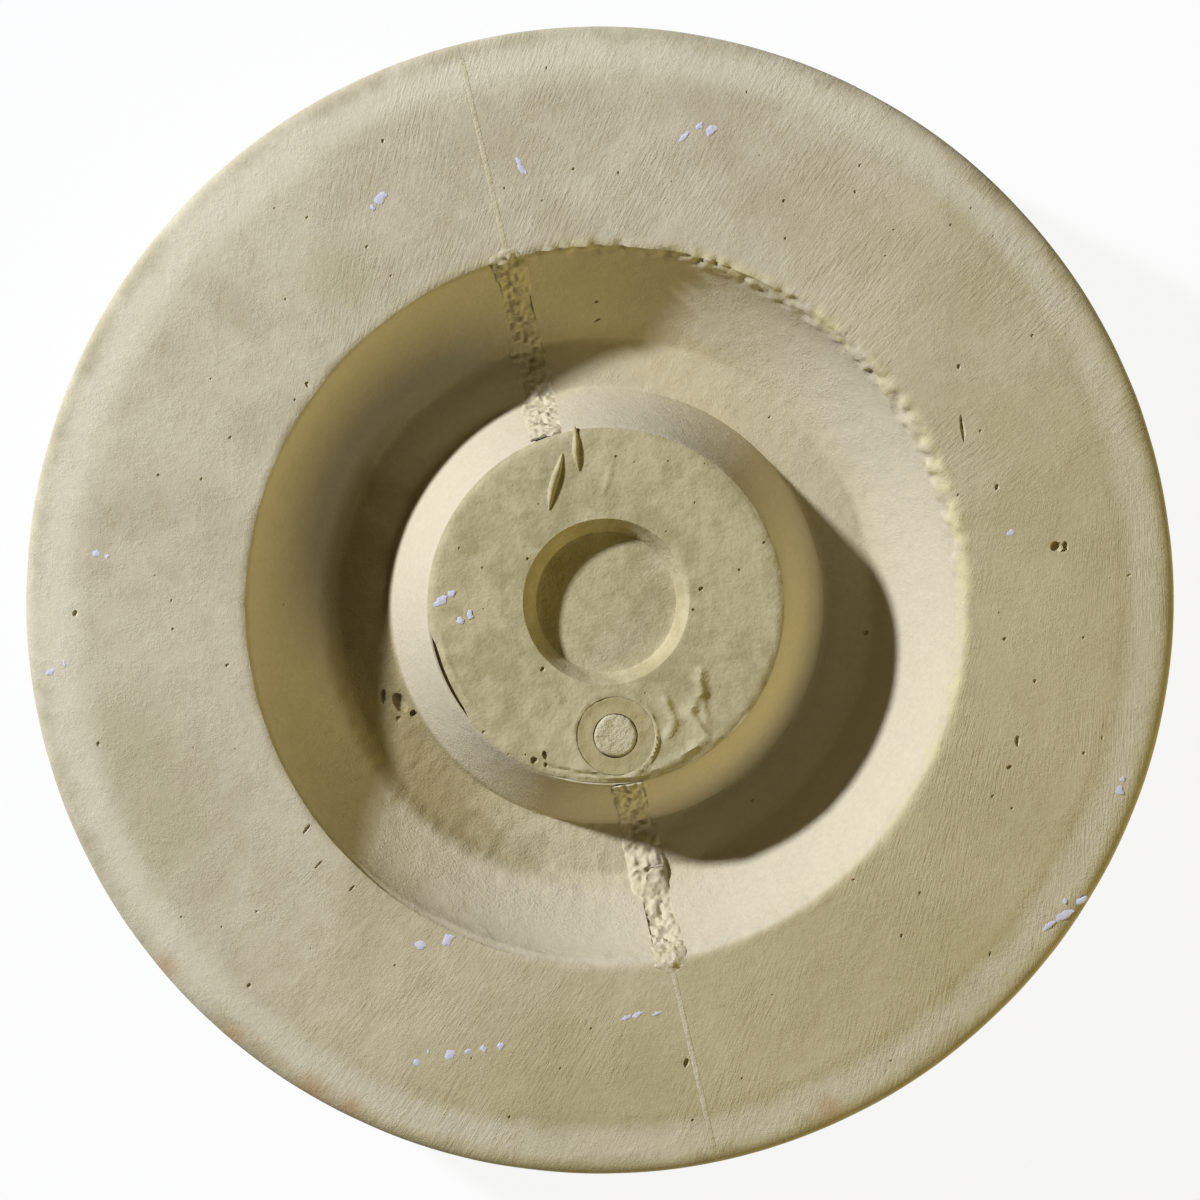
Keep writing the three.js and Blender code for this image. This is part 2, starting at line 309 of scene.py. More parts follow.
# Casting plaster, poured and then scraped level on its face: chalky and matt, pale buff with
# olive damp stains, and strokes about a millimetre apart where the scraper chattered.
plasterLook = {
    "pale": "C9BFA2", "middle": "B9AE90", "olive": "A69C6D", "worn": "D4CBB0", "edge": "93885D",
    # the yellow damp colour on the next line is painted shade on the side of the face away from the
    # lamp, and also the real damp tone of the floor
    "rust": "B58A5A", "cavity": "C8BD9F", "shadeAndDampTint": "B9AA7A", "rim": "CEC18F",
    # the dark olive-brown colour and its share on the next line are painted shade on the shaded
    # floor
    "paintedFloorShade": "716233", "rimShare": 0.7, "paintedFloorShadeShare": 0.8, "floorDamp": 0.3,
    "strokeAcross": 0.95, "strokeAlong": 6.5, "strokeDepth": 0.30,
    "grain": 0.6, "grainDepth": 0.12, "pebble": 1.1, "pebbleDepth": 0.26,
    "sand": 0.8, "sandDepth": 0.24,
    "upperFan": (-168, -141), "lowerFan": (190, 122), "fanReach": 337,
}

# damp stains on the face: place, size and strength
plasterStains = [
    (-51, 109, 15, 0.75), (127, 68, 22, 0.6), (-47, -138, 26, 0.8), (-20, -142, 20, 0.7),
    (-75, -128, 18, 0.5), (70, -122, 30, 0.65), (40, -128, 22, 0.5), (100, -88, 20, 0.5),
    (-143, -10, 22, 0.5), (-140, -40, 20, 0.55), (112, 30, 14, 0.4), (126, 25, 12, 0.5),
]
rustStains = [(-149, -76, 6, 0.5), (-134, -100, 6, 0.5), (-115, -121, 8, 0.5),
              (-105, -129, 6, 0.5), (32, -161, 7, 0.5)]


# The share of a stain at each place, from a table of spots with soft, wandering edges.
def stainShare(tree, place, blotch, spots, wander, core, edge):
    total = None
    for x, y, size, strength in spots:
        far = distanceFrom(tree, place, x, y)
        ragged = addNode(tree, "ShaderNodeMath", far,
            addNode(tree, "ShaderNodeMath", blotch, wander * size * metre,
                operation="MULTIPLY")[0], operation="ADD")[0]
        fade = addNode(tree, "ShaderNodeMapRange", ragged, core * size * metre,
            edge * size * metre, interpolation_type="SMOOTHSTEP")[0]
        spot = addNode(tree, "ShaderNodeMath",
            addNode(tree, "ShaderNodeMath", 1.0, fade, operation="SUBTRACT")[0], strength,
            operation="MULTIPLY")[0]
        total = spot if total is None else addNode(tree, "ShaderNodeMath", total, spot,
            operation="MAXIMUM")[0]
    return total


def castingPlaster(name, look):
    material, tree, shader = newMaterial(name, 0.92, 1.52)
    place = addNode(tree, "ShaderNodeTexCoord")["Object"]
    parts = addNode(tree, "ShaderNodeSeparateXYZ", place)
    height = parts[2]
    fromAxis = distanceFrom(tree, place, 0, 0)
    fromCavity = distanceFrom(tree, place, cavityX, cavityY)
    onTop = addNode(tree, "ShaderNodeMapRange", height, (faceHeight - 4.2) * metre,
        (faceHeight - 2.6) * metre, interpolation_type="SMOOTHSTEP")[0]
    outside = addNode(tree, "ShaderNodeMapRange", fromCavity, (block["rimRadius"] - 1.5) * metre,
        block["rimRadius"] * metre, interpolation_type="SMOOTHSTEP")[0]
    onFace = addNode(tree, "ShaderNodeMath", onTop, outside, operation="MULTIPLY")[0]
    cloud = addNode(tree, "ShaderNodeTexNoise",
        {"Vector": place, "Scale": 1 / (42 * metre), "Detail": 4, "Roughness": 0.6})[0]
    blotch = addNode(tree, "ShaderNodeTexNoise",
        {"Vector": place, "Scale": 1 / (13 * metre), "Detail": 3, "Roughness": 0.6,
            "Distortion": 0.4})[0]
    speck = addNode(tree, "ShaderNodeTexNoise",
        {"Vector": place, "Scale": 1 / (1.6 * metre), "Detail": 3, "Roughness": 0.7})[0]
    mixed = addNode(tree, "ShaderNodeMath",
        addNode(tree, "ShaderNodeMath", cloud, 0.6, operation="MULTIPLY")[0],
        addNode(tree, "ShaderNodeMath", blotch, 0.4, operation="MULTIPLY")[0], operation="ADD")[0]
    colour = addNode(tree, "ShaderNodeMix",
        {0: addNode(tree, "ShaderNodeMapRange", mixed, 0.38, 0.64,
                interpolation_type="SMOOTHSTEP")[0], 6: linear(look["pale"]),
            7: linear(look["middle"])}, data_type="RGBA")[2]
    # painted shade: the side of the face away from the key lamp is made darker and yellower
    awayFromLamp = addNode(tree, "ShaderNodeVectorMath", place, (0.644, -0.765, 0),
        operation="DOT_PRODUCT")["Value"]
    awayFromLamp = addNode(tree, "ShaderNodeMath", awayFromLamp,
        addNode(tree, "ShaderNodeMath", cloud, 0.05, operation="MULTIPLY")[0], operation="ADD")[0]
    shadeAndDampTint = addNode(tree, "ShaderNodeMath",
        addNode(tree, "ShaderNodeMapRange", awayFromLamp, -0.04, 0.17,
            interpolation_type="SMOOTHSTEP")[0], 0.65, operation="MULTIPLY")[0]
    inside = addNode(tree, "ShaderNodeMath", 1.0, onFace, operation="SUBTRACT")[0]
    layers = [(shadeAndDampTint, "shadeAndDampTint"), (inside, "cavity")]
    nearRim = addNode(tree, "ShaderNodeMath",
        addNode(tree, "ShaderNodeMapRange", fromCavity, 0.098, 0.103,
            interpolation_type="SMOOTHSTEP")[0],
        addNode(tree, "ShaderNodeMapRange", fromCavity, 0.1062, 0.1095,
            interpolation_type="SMOOTHSTEP")[0], operation="SUBTRACT", use_clamp=True)[0]
    nearRim = addNode(tree, "ShaderNodeMath", nearRim, onTop, operation="MULTIPLY")[0]
    brokenWay = addNode(tree, "ShaderNodeVectorMath", place, (0.94, 0.34, 0),
        operation="DOT_PRODUCT")["Value"]
    nearRim = addNode(tree, "ShaderNodeMath", nearRim,
        addNode(tree, "ShaderNodeMapRange", brokenWay, -0.03, 0.07,
            interpolation_type="SMOOTHSTEP")[0], operation="MULTIPLY")[0]
    nearRim = addNode(tree, "ShaderNodeMath", nearRim,
        addNode(tree, "ShaderNodeMapRange", blotch, 0.35, 0.6, interpolation_type="SMOOTHSTEP")[0],
        operation="MULTIPLY")[0]
    layers.append((addNode(tree, "ShaderNodeMath", nearRim, look["rimShare"],
                operation="MULTIPLY")[0], "rim"))
    # painted shade: a dark olive-brown colour darkens the floor on one side of the boss, where the
    # rim's shadow falls
    bottom = addNode(tree, "ShaderNodeMath", 1.0,
        addNode(tree, "ShaderNodeMapRange", height, (floorHeight + 0.5) * metre,
            (floorHeight + 5) * metre, interpolation_type="SMOOTHSTEP")[0],
        operation="SUBTRACT")[0]
    bottom = addNode(tree, "ShaderNodeMath", bottom,
        addNode(tree, "ShaderNodeMapRange", height, (floorHeight - 3) * metre,
            (floorHeight - 1.5) * metre, interpolation_type="SMOOTHSTEP")[0],
        operation="MULTIPLY")[0]
    bottom = addNode(tree, "ShaderNodeMath", bottom,
        addNode(tree, "ShaderNodeMath", 1.0, outside, operation="SUBTRACT")[0],
        operation="MULTIPLY")[0]
    shadeWay = addNode(tree, "ShaderNodeVectorMath", place, (-0.995, -0.1, 0),
        operation="DOT_PRODUCT")["Value"]
    shadedSide = addNode(tree, "ShaderNodeMath", shadeWay,
        addNode(tree, "ShaderNodeMath",
            addNode(tree, "ShaderNodeMath", blotch, 0.5, operation="SUBTRACT")[0], 0.03,
            operation="MULTIPLY")[0], operation="ADD")[0]
    paintedFloorShade = addNode(tree, "ShaderNodeMath",
        addNode(tree, "ShaderNodeMath", bottom, inside, operation="MULTIPLY")[0],
        addNode(tree, "ShaderNodeMapRange", shadedSide, 0.03, 0.066,
            interpolation_type="SMOOTHSTEP")[0], operation="MULTIPLY")[0]
    layers.append((addNode(tree, "ShaderNodeMath", paintedFloorShade, look["paintedFloorShadeShare"],
                operation="MULTIPLY")[0], "paintedFloorShade"))
    layers.append((addNode(tree, "ShaderNodeMath",
                addNode(tree, "ShaderNodeMath", bottom, inside, operation="MULTIPLY")[0],
                look["floorDamp"], operation="MULTIPLY")[0], "shadeAndDampTint"))
    stained = stainShare(tree, place, blotch, plasterStains, 2.2, 1.2, 2.3)
    stained = addNode(tree, "ShaderNodeMath",
        addNode(tree, "ShaderNodeMath", stained, onFace, operation="MULTIPLY")[0], 0.62,
        operation="MULTIPLY")[0]
    layers.append((stained, "olive"))
    wobble = addNode(tree, "ShaderNodeMath",
        addNode(tree, "ShaderNodeMath", blotch, 0.5, operation="SUBTRACT")[0], 7 * metre,
        operation="MULTIPLY")[0]
    ring = addNode(tree, "ShaderNodeMath", fromAxis, wobble, operation="ADD")[0]
    wornIn = addNode(tree, "ShaderNodeMapRange", ring, (blockRadius - 17) * metre,
        (blockRadius - 10) * metre, interpolation_type="SMOOTHSTEP")[0]
    wornOut = addNode(tree, "ShaderNodeMapRange", ring, (blockRadius - 7) * metre,
        (blockRadius - 2.5) * metre, interpolation_type="SMOOTHSTEP")[0]
    worn = addNode(tree, "ShaderNodeMath",
        addNode(tree, "ShaderNodeMath", wornIn, wornOut, operation="SUBTRACT", use_clamp=True)[0],
        0.7, operation="MULTIPLY")[0]
    layers.append((addNode(tree, "ShaderNodeMath", worn, onTop, operation="MULTIPLY")[0], "worn"))
    rim = addNode(tree, "ShaderNodeMapRange", ring, (blockRadius - 4.5) * metre,
        (blockRadius - 0.5) * metre, interpolation_type="SMOOTHSTEP")[0]
    low = addNode(tree, "ShaderNodeMath", 1.0,
        addNode(tree, "ShaderNodeMapRange", height, 0, 14 * metre,
            interpolation_type="SMOOTHSTEP")[0], operation="SUBTRACT")[0]
    rim = addNode(tree, "ShaderNodeMath", rim,
        addNode(tree, "ShaderNodeMath",
            addNode(tree, "ShaderNodeMath", blotch, 0.5, operation="MULTIPLY")[0],
            addNode(tree, "ShaderNodeMath", low, 0.25, operation="MULTIPLY")[0],
            operation="ADD")[0], operation="MULTIPLY")[0]
    rusty = stainShare(tree, place, blotch, rustStains, 0.9, 0.5, 1.4)
    layers += [(rim, "edge"), (rusty, "rust")]
    for share, finish in layers:
        colour = addNode(tree, "ShaderNodeMix", {0: share, 6: colour, 7: linear(look[finish])},
            data_type="RGBA")[2]
    speckled = addNode(tree, "ShaderNodeMath", speck, 0.24, 0.88, operation="MULTIPLY_ADD")[0]
    colour = addNode(tree, "ShaderNodeMix", {0: 1.0, 6: colour, 7: speckled}, data_type="RGBA",
        blend_type="MULTIPLY")[2]
    tree.links.new(colour, shader.inputs["Base Color"])
    # strokes of the scraper, on two fans that meet raggedly at the sides of the face
    upper, lower = [fannedNoise(tree, place, look[fan], look["fanReach"] * metre,
                                look["strokeAcross"] * metre, look["strokeAlong"])
                    for fan in ("upperFan", "lowerFan")]
    edgeOfFans = addNode(tree, "ShaderNodeMath", parts[1], wobble, operation="ADD")[0]
    fans = addNode(tree, "ShaderNodeMix",
        {0: addNode(tree, "ShaderNodeMapRange", edgeOfFans, -0.02, 0.02,
                interpolation_type="SMOOTHSTEP")[0], 2: lower, 3: upper})[0]
    patches = addNode(tree, "ShaderNodeMapRange",
        addNode(tree, "ShaderNodeTexNoise",
            {"Vector": place, "Scale": 1 / (26 * metre), "Detail": 2, "Roughness": 0.55})[0], 0.36,
        0.62, interpolation_type="SMOOTHSTEP")[0]
    strokes = addNode(tree, "ShaderNodeMath", fans,
        addNode(tree, "ShaderNodeMath", patches, 0.75, 0.25, operation="MULTIPLY_ADD")[0],
        operation="MULTIPLY")[0]
    # the strokes were trowelled out on one side, where the face is only grainy
    trowelled = addNode(tree, "ShaderNodeVectorMath", place, (-0.974, 0.226, 0),
        operation="DOT_PRODUCT")["Value"]
    kept = addNode(tree, "ShaderNodeMath",
        addNode(tree, "ShaderNodeMapRange", trowelled, 0.05, 0.12,
            interpolation_type="SMOOTHSTEP")[0], -0.85, 1.0, operation="MULTIPLY_ADD")[0]
    strokes = addNode(tree, "ShaderNodeMath",
        addNode(tree, "ShaderNodeMath", strokes, onFace, operation="MULTIPLY")[0], kept,
        operation="MULTIPLY")[0]
    pebbles = addNode(tree, "ShaderNodeMath",
        addNode(tree, "ShaderNodeTexNoise",
            {"Vector": place, "Scale": 1 / (look["pebble"] * metre), "Detail": 3,
                "Roughness": 0.75})[0], addNode(tree, "ShaderNodeMath",
            addNode(tree, "ShaderNodeMapRange",
                addNode(tree, "ShaderNodeTexNoise",
                    {"Vector": place, "Scale": 1 / (8 * metre), "Detail": 2,
                    "Roughness": 0.55})[0], 0.4, 0.6, interpolation_type="SMOOTHSTEP")[0], 0.7,
            0.3, operation="MULTIPLY_ADD")[0], operation="MULTIPLY")[0]
    grain = addNode(tree, "ShaderNodeTexNoise",
        {"Vector": place, "Scale": 1 / (look["grain"] * metre), "Detail": 2, "Roughness": 0.7})[0]
    relief = addNode(tree, "ShaderNodeMath", strokes, look["strokeDepth"] * metre,
        operation="MULTIPLY")[0]
    relief = addNode(tree, "ShaderNodeMath", relief,
        addNode(tree, "ShaderNodeMath", pebbles, look["pebbleDepth"] * metre,
            operation="MULTIPLY")[0], operation="ADD")[0]
    relief = addNode(tree, "ShaderNodeMath", relief,
        addNode(tree, "ShaderNodeMath", grain, look["grainDepth"] * metre,
            operation="MULTIPLY")[0], operation="ADD")[0]
    # sandy floor and lower wall of the cavity, coarsest on one side
    low = addNode(tree, "ShaderNodeMath", 1.0,
        addNode(tree, "ShaderNodeMapRange", height, (floorHeight + 6) * metre,
            (floorHeight + 24) * metre, interpolation_type="SMOOTHSTEP")[0],
        operation="SUBTRACT")[0]
    sandWay = addNode(tree, "ShaderNodeVectorMath", place, (-0.75, -0.66, 0),
        operation="DOT_PRODUCT")["Value"]
    sandy = addNode(tree, "ShaderNodeMath",
        addNode(tree, "ShaderNodeMapRange", sandWay, -0.01, 0.06,
            interpolation_type="SMOOTHSTEP")[0], 0.75, 0.25, operation="MULTIPLY_ADD")[0]
    sandy = addNode(tree, "ShaderNodeMath",
        addNode(tree, "ShaderNodeMath", low, inside, operation="MULTIPLY")[0], sandy,
        operation="MULTIPLY")[0]
    sand = addNode(tree, "ShaderNodeTexNoise",
        {"Vector": place, "Scale": 1 / (look["sand"] * metre), "Detail": 2, "Roughness": 0.65})[0]
    relief = addNode(tree, "ShaderNodeMath", relief,
        addNode(tree, "ShaderNodeMath",
            addNode(tree, "ShaderNodeMath", sandy, sand, operation="MULTIPLY")[0],
            look["sandDepth"] * metre, operation="MULTIPLY")[0], operation="ADD")[0]
    bump = addNode(tree, "ShaderNodeBump", {"Height": relief, "Distance": 1.0, "Strength": 1.0})
    tree.links.new(bump[0], shader.inputs["Normal"])
    return material


# Plaster pushed into a joint or a key and left rough: whiter, crumbly, with yellow-olive crumbs.
def crumblyPlaster(name, pale, dark, crumb, depth, darkShare=0.5):
    material, tree, shader = newMaterial(name, 0.95, 1.52)
    place = addNode(tree, "ShaderNodeTexCoord")["Object"]
    cloud = addNode(tree, "ShaderNodeTexNoise",
        {"Vector": place, "Scale": 1 / (9 * metre), "Detail": 3, "Roughness": 0.6})[0]
    crumbs = addNode(tree, "ShaderNodeTexNoise",
        {"Vector": place, "Scale": 1 / (crumb * metre), "Detail": 5, "Roughness": 0.8})[0]
    share = addNode(tree, "ShaderNodeMath",
        addNode(tree, "ShaderNodeMath", cloud, 0.5, operation="MULTIPLY")[0],
        addNode(tree, "ShaderNodeMath", crumbs, 0.5, operation="MULTIPLY")[0], operation="ADD")[0]
    colour = addNode(tree, "ShaderNodeMix",
        {0: addNode(tree, "ShaderNodeMath",
                addNode(tree, "ShaderNodeMapRange", share, 0.45, 0.66,
                    interpolation_type="SMOOTHSTEP")[0], darkShare, operation="MULTIPLY")[0],
            6: linear(pale), 7: linear(dark)}, data_type="RGBA")[2]
    tree.links.new(colour, shader.inputs["Base Color"])
    grain = addNode(tree, "ShaderNodeTexNoise",
        {"Vector": place, "Scale": 1 / (crumb * 0.5 * metre), "Detail": 3, "Roughness": 0.7})[0]
    relief = addNode(tree, "ShaderNodeMath", grain, depth * metre, operation="MULTIPLY")[0]
    bump = addNode(tree, "ShaderNodeBump", {"Height": relief, "Distance": 1.0, "Strength": 1.0})
    tree.links.new(bump[0], shader.inputs["Normal"])
    return material


# Smooth plaster of the plug, cast against a finished surface and handled: darker, less scraped.
plugLook = {"pale": "BEB28B", "dark": "A99D73", "cloud": 22, "blotch": 6, "blotchDepth": 0.5,
            "speck": 1.1, "speckDepth": 0.20, "grain": 0.5, "grainDepth": 0.04}


def plugPlasterLook(name):
    material, tree, shader = newMaterial(name, 0.86, 1.52)
    place = addNode(tree, "ShaderNodeTexCoord")["Object"]
    cloud = addNode(tree, "ShaderNodeTexNoise",
        {"Vector": place, "Scale": 1 / (plugLook["cloud"] * metre), "Detail": 4,
            "Roughness": 0.6})[0]
    blotch = addNode(tree, "ShaderNodeTexNoise",
        {"Vector": place, "Scale": 1 / (plugLook["blotch"] * metre), "Detail": 3,
            "Roughness": 0.65})[0]
    speck = addNode(tree, "ShaderNodeTexNoise",
        {"Vector": place, "Scale": 1 / (plugLook["speck"] * metre), "Detail": 3,
            "Roughness": 0.7})[0]
    share = addNode(tree, "ShaderNodeMath",
        addNode(tree, "ShaderNodeMath", cloud, 0.5, operation="MULTIPLY")[0],
        addNode(tree, "ShaderNodeMath", blotch, 0.5, operation="MULTIPLY")[0], operation="ADD")[0]
    colour = addNode(tree, "ShaderNodeMix",
        {0: addNode(tree, "ShaderNodeMapRange", share, 0.4, 0.62,
                interpolation_type="SMOOTHSTEP")[0], 6: linear(plugLook["pale"]),
            7: linear(plugLook["dark"])}, data_type="RGBA")[2]
    colour = addNode(tree, "ShaderNodeMix",
        {0: 1.0, 6: colour, 7: addNode(tree, "ShaderNodeMath", speck, 0.2, 0.9,
                operation="MULTIPLY_ADD")[0]}, data_type="RGBA", blend_type="MULTIPLY")[2]
    tree.links.new(colour, shader.inputs["Base Color"])
    relief = addNode(tree, "ShaderNodeMath",
        addNode(tree, "ShaderNodeMath", blotch, plugLook["blotchDepth"] * metre,
            operation="MULTIPLY")[0], addNode(tree, "ShaderNodeMath", speck,
            plugLook["speckDepth"] * metre, operation="MULTIPLY")[0], operation="ADD")[0]
    grain = addNode(tree, "ShaderNodeTexNoise",
        {"Vector": place, "Scale": 1 / (plugLook["grain"] * metre), "Detail": 2,
            "Roughness": 0.6})[0]
    relief = addNode(tree, "ShaderNodeMath", relief,
        addNode(tree, "ShaderNodeMath", grain, plugLook["grainDepth"] * metre,
            operation="MULTIPLY")[0], operation="ADD")[0]
    bump = addNode(tree, "ShaderNodeBump", {"Height": relief, "Distance": 1.0, "Strength": 1.0})
    tree.links.new(bump[0], shader.inputs["Normal"])
    return material


# Moulded plastic of a bought natch: even, a little glossy, faintly pebbled by its mould.
def natchPlasticLook(name):
    material, tree, shader = newMaterial(name, 0.42, 1.5)
    place = addNode(tree, "ShaderNodeTexCoord")["Object"]
    cloud = addNode(tree, "ShaderNodeTexNoise",
        {"Vector": place, "Scale": 1 / (6 * metre), "Detail": 2, "Roughness": 0.55})[0]
    colour = addNode(tree, "ShaderNodeMix", {0: cloud, 6: linear("D9D2BF"), 7: linear("CFC7B2")},
        data_type="RGBA")[2]
    tree.links.new(colour, shader.inputs["Base Color"])
    grain = addNode(tree, "ShaderNodeTexNoise",
        {"Vector": place, "Scale": 1 / (0.4 * metre), "Detail": 2, "Roughness": 0.55})[0]
    bump = addNode(tree, "ShaderNodeBump",
        {"Height": addNode(tree, "ShaderNodeMath", grain, 0.02 * metre, operation="MULTIPLY")[0],
            "Distance": 1.0})
    tree.links.new(bump[0], shader.inputs["Normal"])
    return material


# Dried drops of white glaze: thin, smooth, bluish white.
def glazeDropLook(name):
    material, tree, shader = newMaterial(name, 0.5, 1.5)
    place = addNode(tree, "ShaderNodeTexCoord")["Object"]
    colour = addNode(tree, "ShaderNodeMix",
        {0: addNode(tree, "ShaderNodeTexNoise",
                {"Vector": place, "Scale": 1 / (2 * metre), "Detail": 2, "Roughness": 0.55})[0],
            6: linear("D6D2DC"), 7: linear("C3BED0")}, data_type="RGBA")[2]
    tree.links.new(colour, shader.inputs["Base Color"])
    return material


castingMaterial = castingPlaster("castingPlaster", plasterLook)
fillMaterial = crumblyPlaster("seamPlaster", "CBC0A0", "A0945D", 2.2, 0.4, 0.45)
plugMaterial = plugPlasterLook("plugPlaster")
keyRingMaterial = crumblyPlaster("keyRingPlaster", "B2A579", "9F9260", 1.6, 0.22)
keyCoreMaterial = crumblyPlaster("keyCorePlaster", "C9BE9A", "AA9E6B", 2.4, 0.7)
natchMaterial = natchPlasticLook("mouldedPlastic")
dropMaterial = glazeDropLook("driedGlaze")
print("materials made")


half = {
    "seamInset": -0.13,  # the parting faces stand forward this far, so that the joint looks shut
    "stripGroove": 0.7, "beadGroove": 4.0, "grooveDepth": 2.6, "tongue": 4, "stripEnd": 5,
    "seamOffsets": [0, 0.62, 0.8, 1.6, 2.4, 3.2, 3.9, 4.12, 5.0, 6.0],
    "chipFrom": -8, "chipTo": 90, "chipDepth": 0.85, "chipSize": 2.8,
    "floorGrain": 0.18, "wallWave": 0.28, "steepSide": 145, "steeper": 1.7,
    "natchHole": 8.65, "natchHoleDepth": 12.6,
}


# Round voids and scratches in the face: place, half width, half length, turn in degrees.
faceVoids = [
    (-151, 31, 0.9, 1.0, 0), (-106, 61, 0.5, 0.6, 0), (-111, 6, 0.7, 0.6, 0),
    (-153, -8, 0.6, 0.9, 0), (-95, 71, 0.6, 0.5, 0), (-99, -46, 0.7, 1.8, 50),
    (-98, -57, 0.5, 1.7, 55), (-90, -66, 0.5, 1.3, 60), (-126, -87, 0.7, 0.7, 0),
    (-6, -138, 1.0, 1.4, 20), (-8, -155, 0.6, 0.5, 0), (115, 25, 0.8, 4.2, 5),
    (121, 6, 0.8, 0.9, 0), (134, -15, 1.5, 2.0, -60), (136.5, -15.6, 1.2, 1.6, 10),
    (113, -38, 0.6, 0.6, 0), (119, -52, 0.6, 0.6, 0), (110, -68, 0.9, 1.6, 10),
    (106, -75, 0.9, 0.8, 0), (153, -28, 0.7, 0.5, 0), (72, -105, 0.5, 0.6, 0),
    (54, -97, 0.5, 1.0, -50), (64, -116, 0.6, 0.6, 0), (88, -127, 0.5, 0.8, 20),
    (103, 107, 0.5, 0.5, 0), (125, 84, 0.5, 0.5, 0), (118, 43, 0.7, 0.8, 0),
    (141, 47, 0.6, 0.5, 0), (21, 125, 0.5, 0.5, 0), (10, 118, 0.4, 0.5, 0),
    (79, 102, 0.5, 0.5, 0), (-70, 107, 0.5, 0.5, 0), (-69.5, 81, 0.7, 0.9, 0),
    (-65.5, -16.5, 3.4, 2.0, 70), (-62, -20.5, 1.6, 1.2, 0), (-70, -13.5, 1.2, 2.2, 10),
    (-67, -21, 1.0, 0.8, 0), (-82, 56, 1.3, 0.9, 20), (18, 82, 0.5, 1.4, 80),
    (19, 87, 0.5, 0.8, 80), (-55, 77, 0.5, 0.7, 0), (-92, 20, 0.5, 0.6, 0),
    (75.5, -27.5, 1.1, 0.8, 0), (31, -69, 0.6, 0.6, 0), (62, 42, 0.6, 0.5, 0),
]


def halfSection():
    rim, height = block["rimRadius"], faceHeight
    edge = [
        (blockRadius - block["edgeWidth"] + block["edgeWidth"] * math.cos(a),
         height - block["bevelDrop"] - block["edgeDrop"] + block["edgeDrop"] * math.sin(a))
        for a in np.linspace(math.pi / 2, 0, 7)
    ]
    wall = wallCurve()
    corners = [(block["socketFoot"], 0), (block["socketTop"], height - block["rebateDepth"]),
               (block["rebate"], height - block["rebateDepth"]), (block["rebate"], height),
               (block["bossTop"], height), (block["bossFoot"], floorHeight)]
    spacings = [block["hiddenRow"], 4, 1.6, 0.5, block["visibleRow"], block["visibleRow"]]
    corners += [tuple(point) for point in wall[::-1]]
    spacings += [block["visibleRow"]] * (len(wall) - 1) + [block["lipRow"]]
    face = height - block["bevelDrop"]
    corners += [(rim, height), (blockRadius - block["edgeWidth"] - block["bevelWidth"], height)]
    spacings += [block["visibleRow"], block["visibleRow"] * 1.1]
    corners += edge
    spacings += [0.9] * (len(edge) - 1) + [block["hiddenRow"]]
    corners += [(blockRadius, block["baseChamfer"]), (blockRadius - block["baseChamfer"], 0)]
    spacings += [1.2, 14]
    zones = (["socket"] * 3 + ["rebate", "boss", "floor"] + ["wall"] * (len(wall) - 1) + ["lip"]
             + ["face"] * 2 + ["edge"] * (len(edge) - 1) + ["side", "base", "base"])
    rows, marks = sectionRows(corners, spacings, block["cornerRound"], True)
    return rows, np.array(zones)[marks]


# How far the wide groove of the cavity still holds on the face, from 1 at the rim to 0.
def tongueShare(radius):
    return 1 - smoothStep(block["rimRadius"] + 0.3, block["rimRadius"] + 3.6, radius)


# Height of the surface above the plain form, in millimetres, for points with their zones.
def halfRelief(points, zone, fromCavity, angle):
    relief = np.zeros(len(points))
    wide, middle = cellNoise(points, 33, 1), cellNoise(points, 9, 2)
    small, fine = cellNoise(points, 3.1, 3), cellNoise(points, 1.7, 4)
    face = np.isin(zone, ["face", "edge"])
    relief += face * (0.12 * wide + 0.05 * middle)
    wall = zone == "wall"
    smear = cellNoise(points * [1, 1, 2.6], 24, 5)
    relief += wall * (half["wallWave"] * smear + 0.07 * middle + 0.04 * small)
    floorRough = 0.5 + 0.9 * smoothStep(150, 200, np.degrees(angle) % 360)
    floorRough *= 1 - 0.75 * smoothStep(262, 290, np.degrees(angle) % 360)
    floor = zone == "floor"
    relief += floor * (0.22 * cellNoise(points, 15, 6) + half["floorGrain"] * floorRough
                       * (small + 0.9 * np.maximum(fine, 0)))
    lowWall = wall * (1 - smoothStep(0, 12, points[:, 2] - floorHeight))
    relief += lowWall * 0.12 * floorRough * (small + fine)
    relief += (zone == "boss") * (0.07 * wide + 0.03 * middle)
    # the rim is broken away raggedly on one side and only worn on the other
    turn = (np.degrees(angle) + 180) % 360 - 180
    broken = smoothStep(half["chipFrom"] - 6, half["chipFrom"] + 6, turn)
    broken *= 1 - smoothStep(half["chipTo"] - 6, half["chipTo"] + 6, turn)
    nearRim = np.where(zone == "lip", 1.0, 0.0)
    nearRim += face * (1 - smoothStep(0, 2.6, fromCavity - block["rimRadius"]))
    nearRim += wall * smoothStep(-4.5, -1, points[:, 2] - faceHeight + block["lipDrop"])
    chip = np.clip(cellNoise(points, half["chipSize"], 7) + 0.2
                   + 0.7 * cellNoise(points, 2.0, 8), -0.35, 1.1)
    relief -= nearRim * broken * (half["chipDepth"] * chip + 0.2 * fine)
    gentle = 0.35 + 0.65 * np.exp(-((turn + 60) / 45) ** 2)
    relief -= nearRim * (1 - broken) * gentle * (
        0.45 * np.clip(middle + 0.2, -0.3, 1) + 0.3 * small + 0.15 * fine)
    return relief


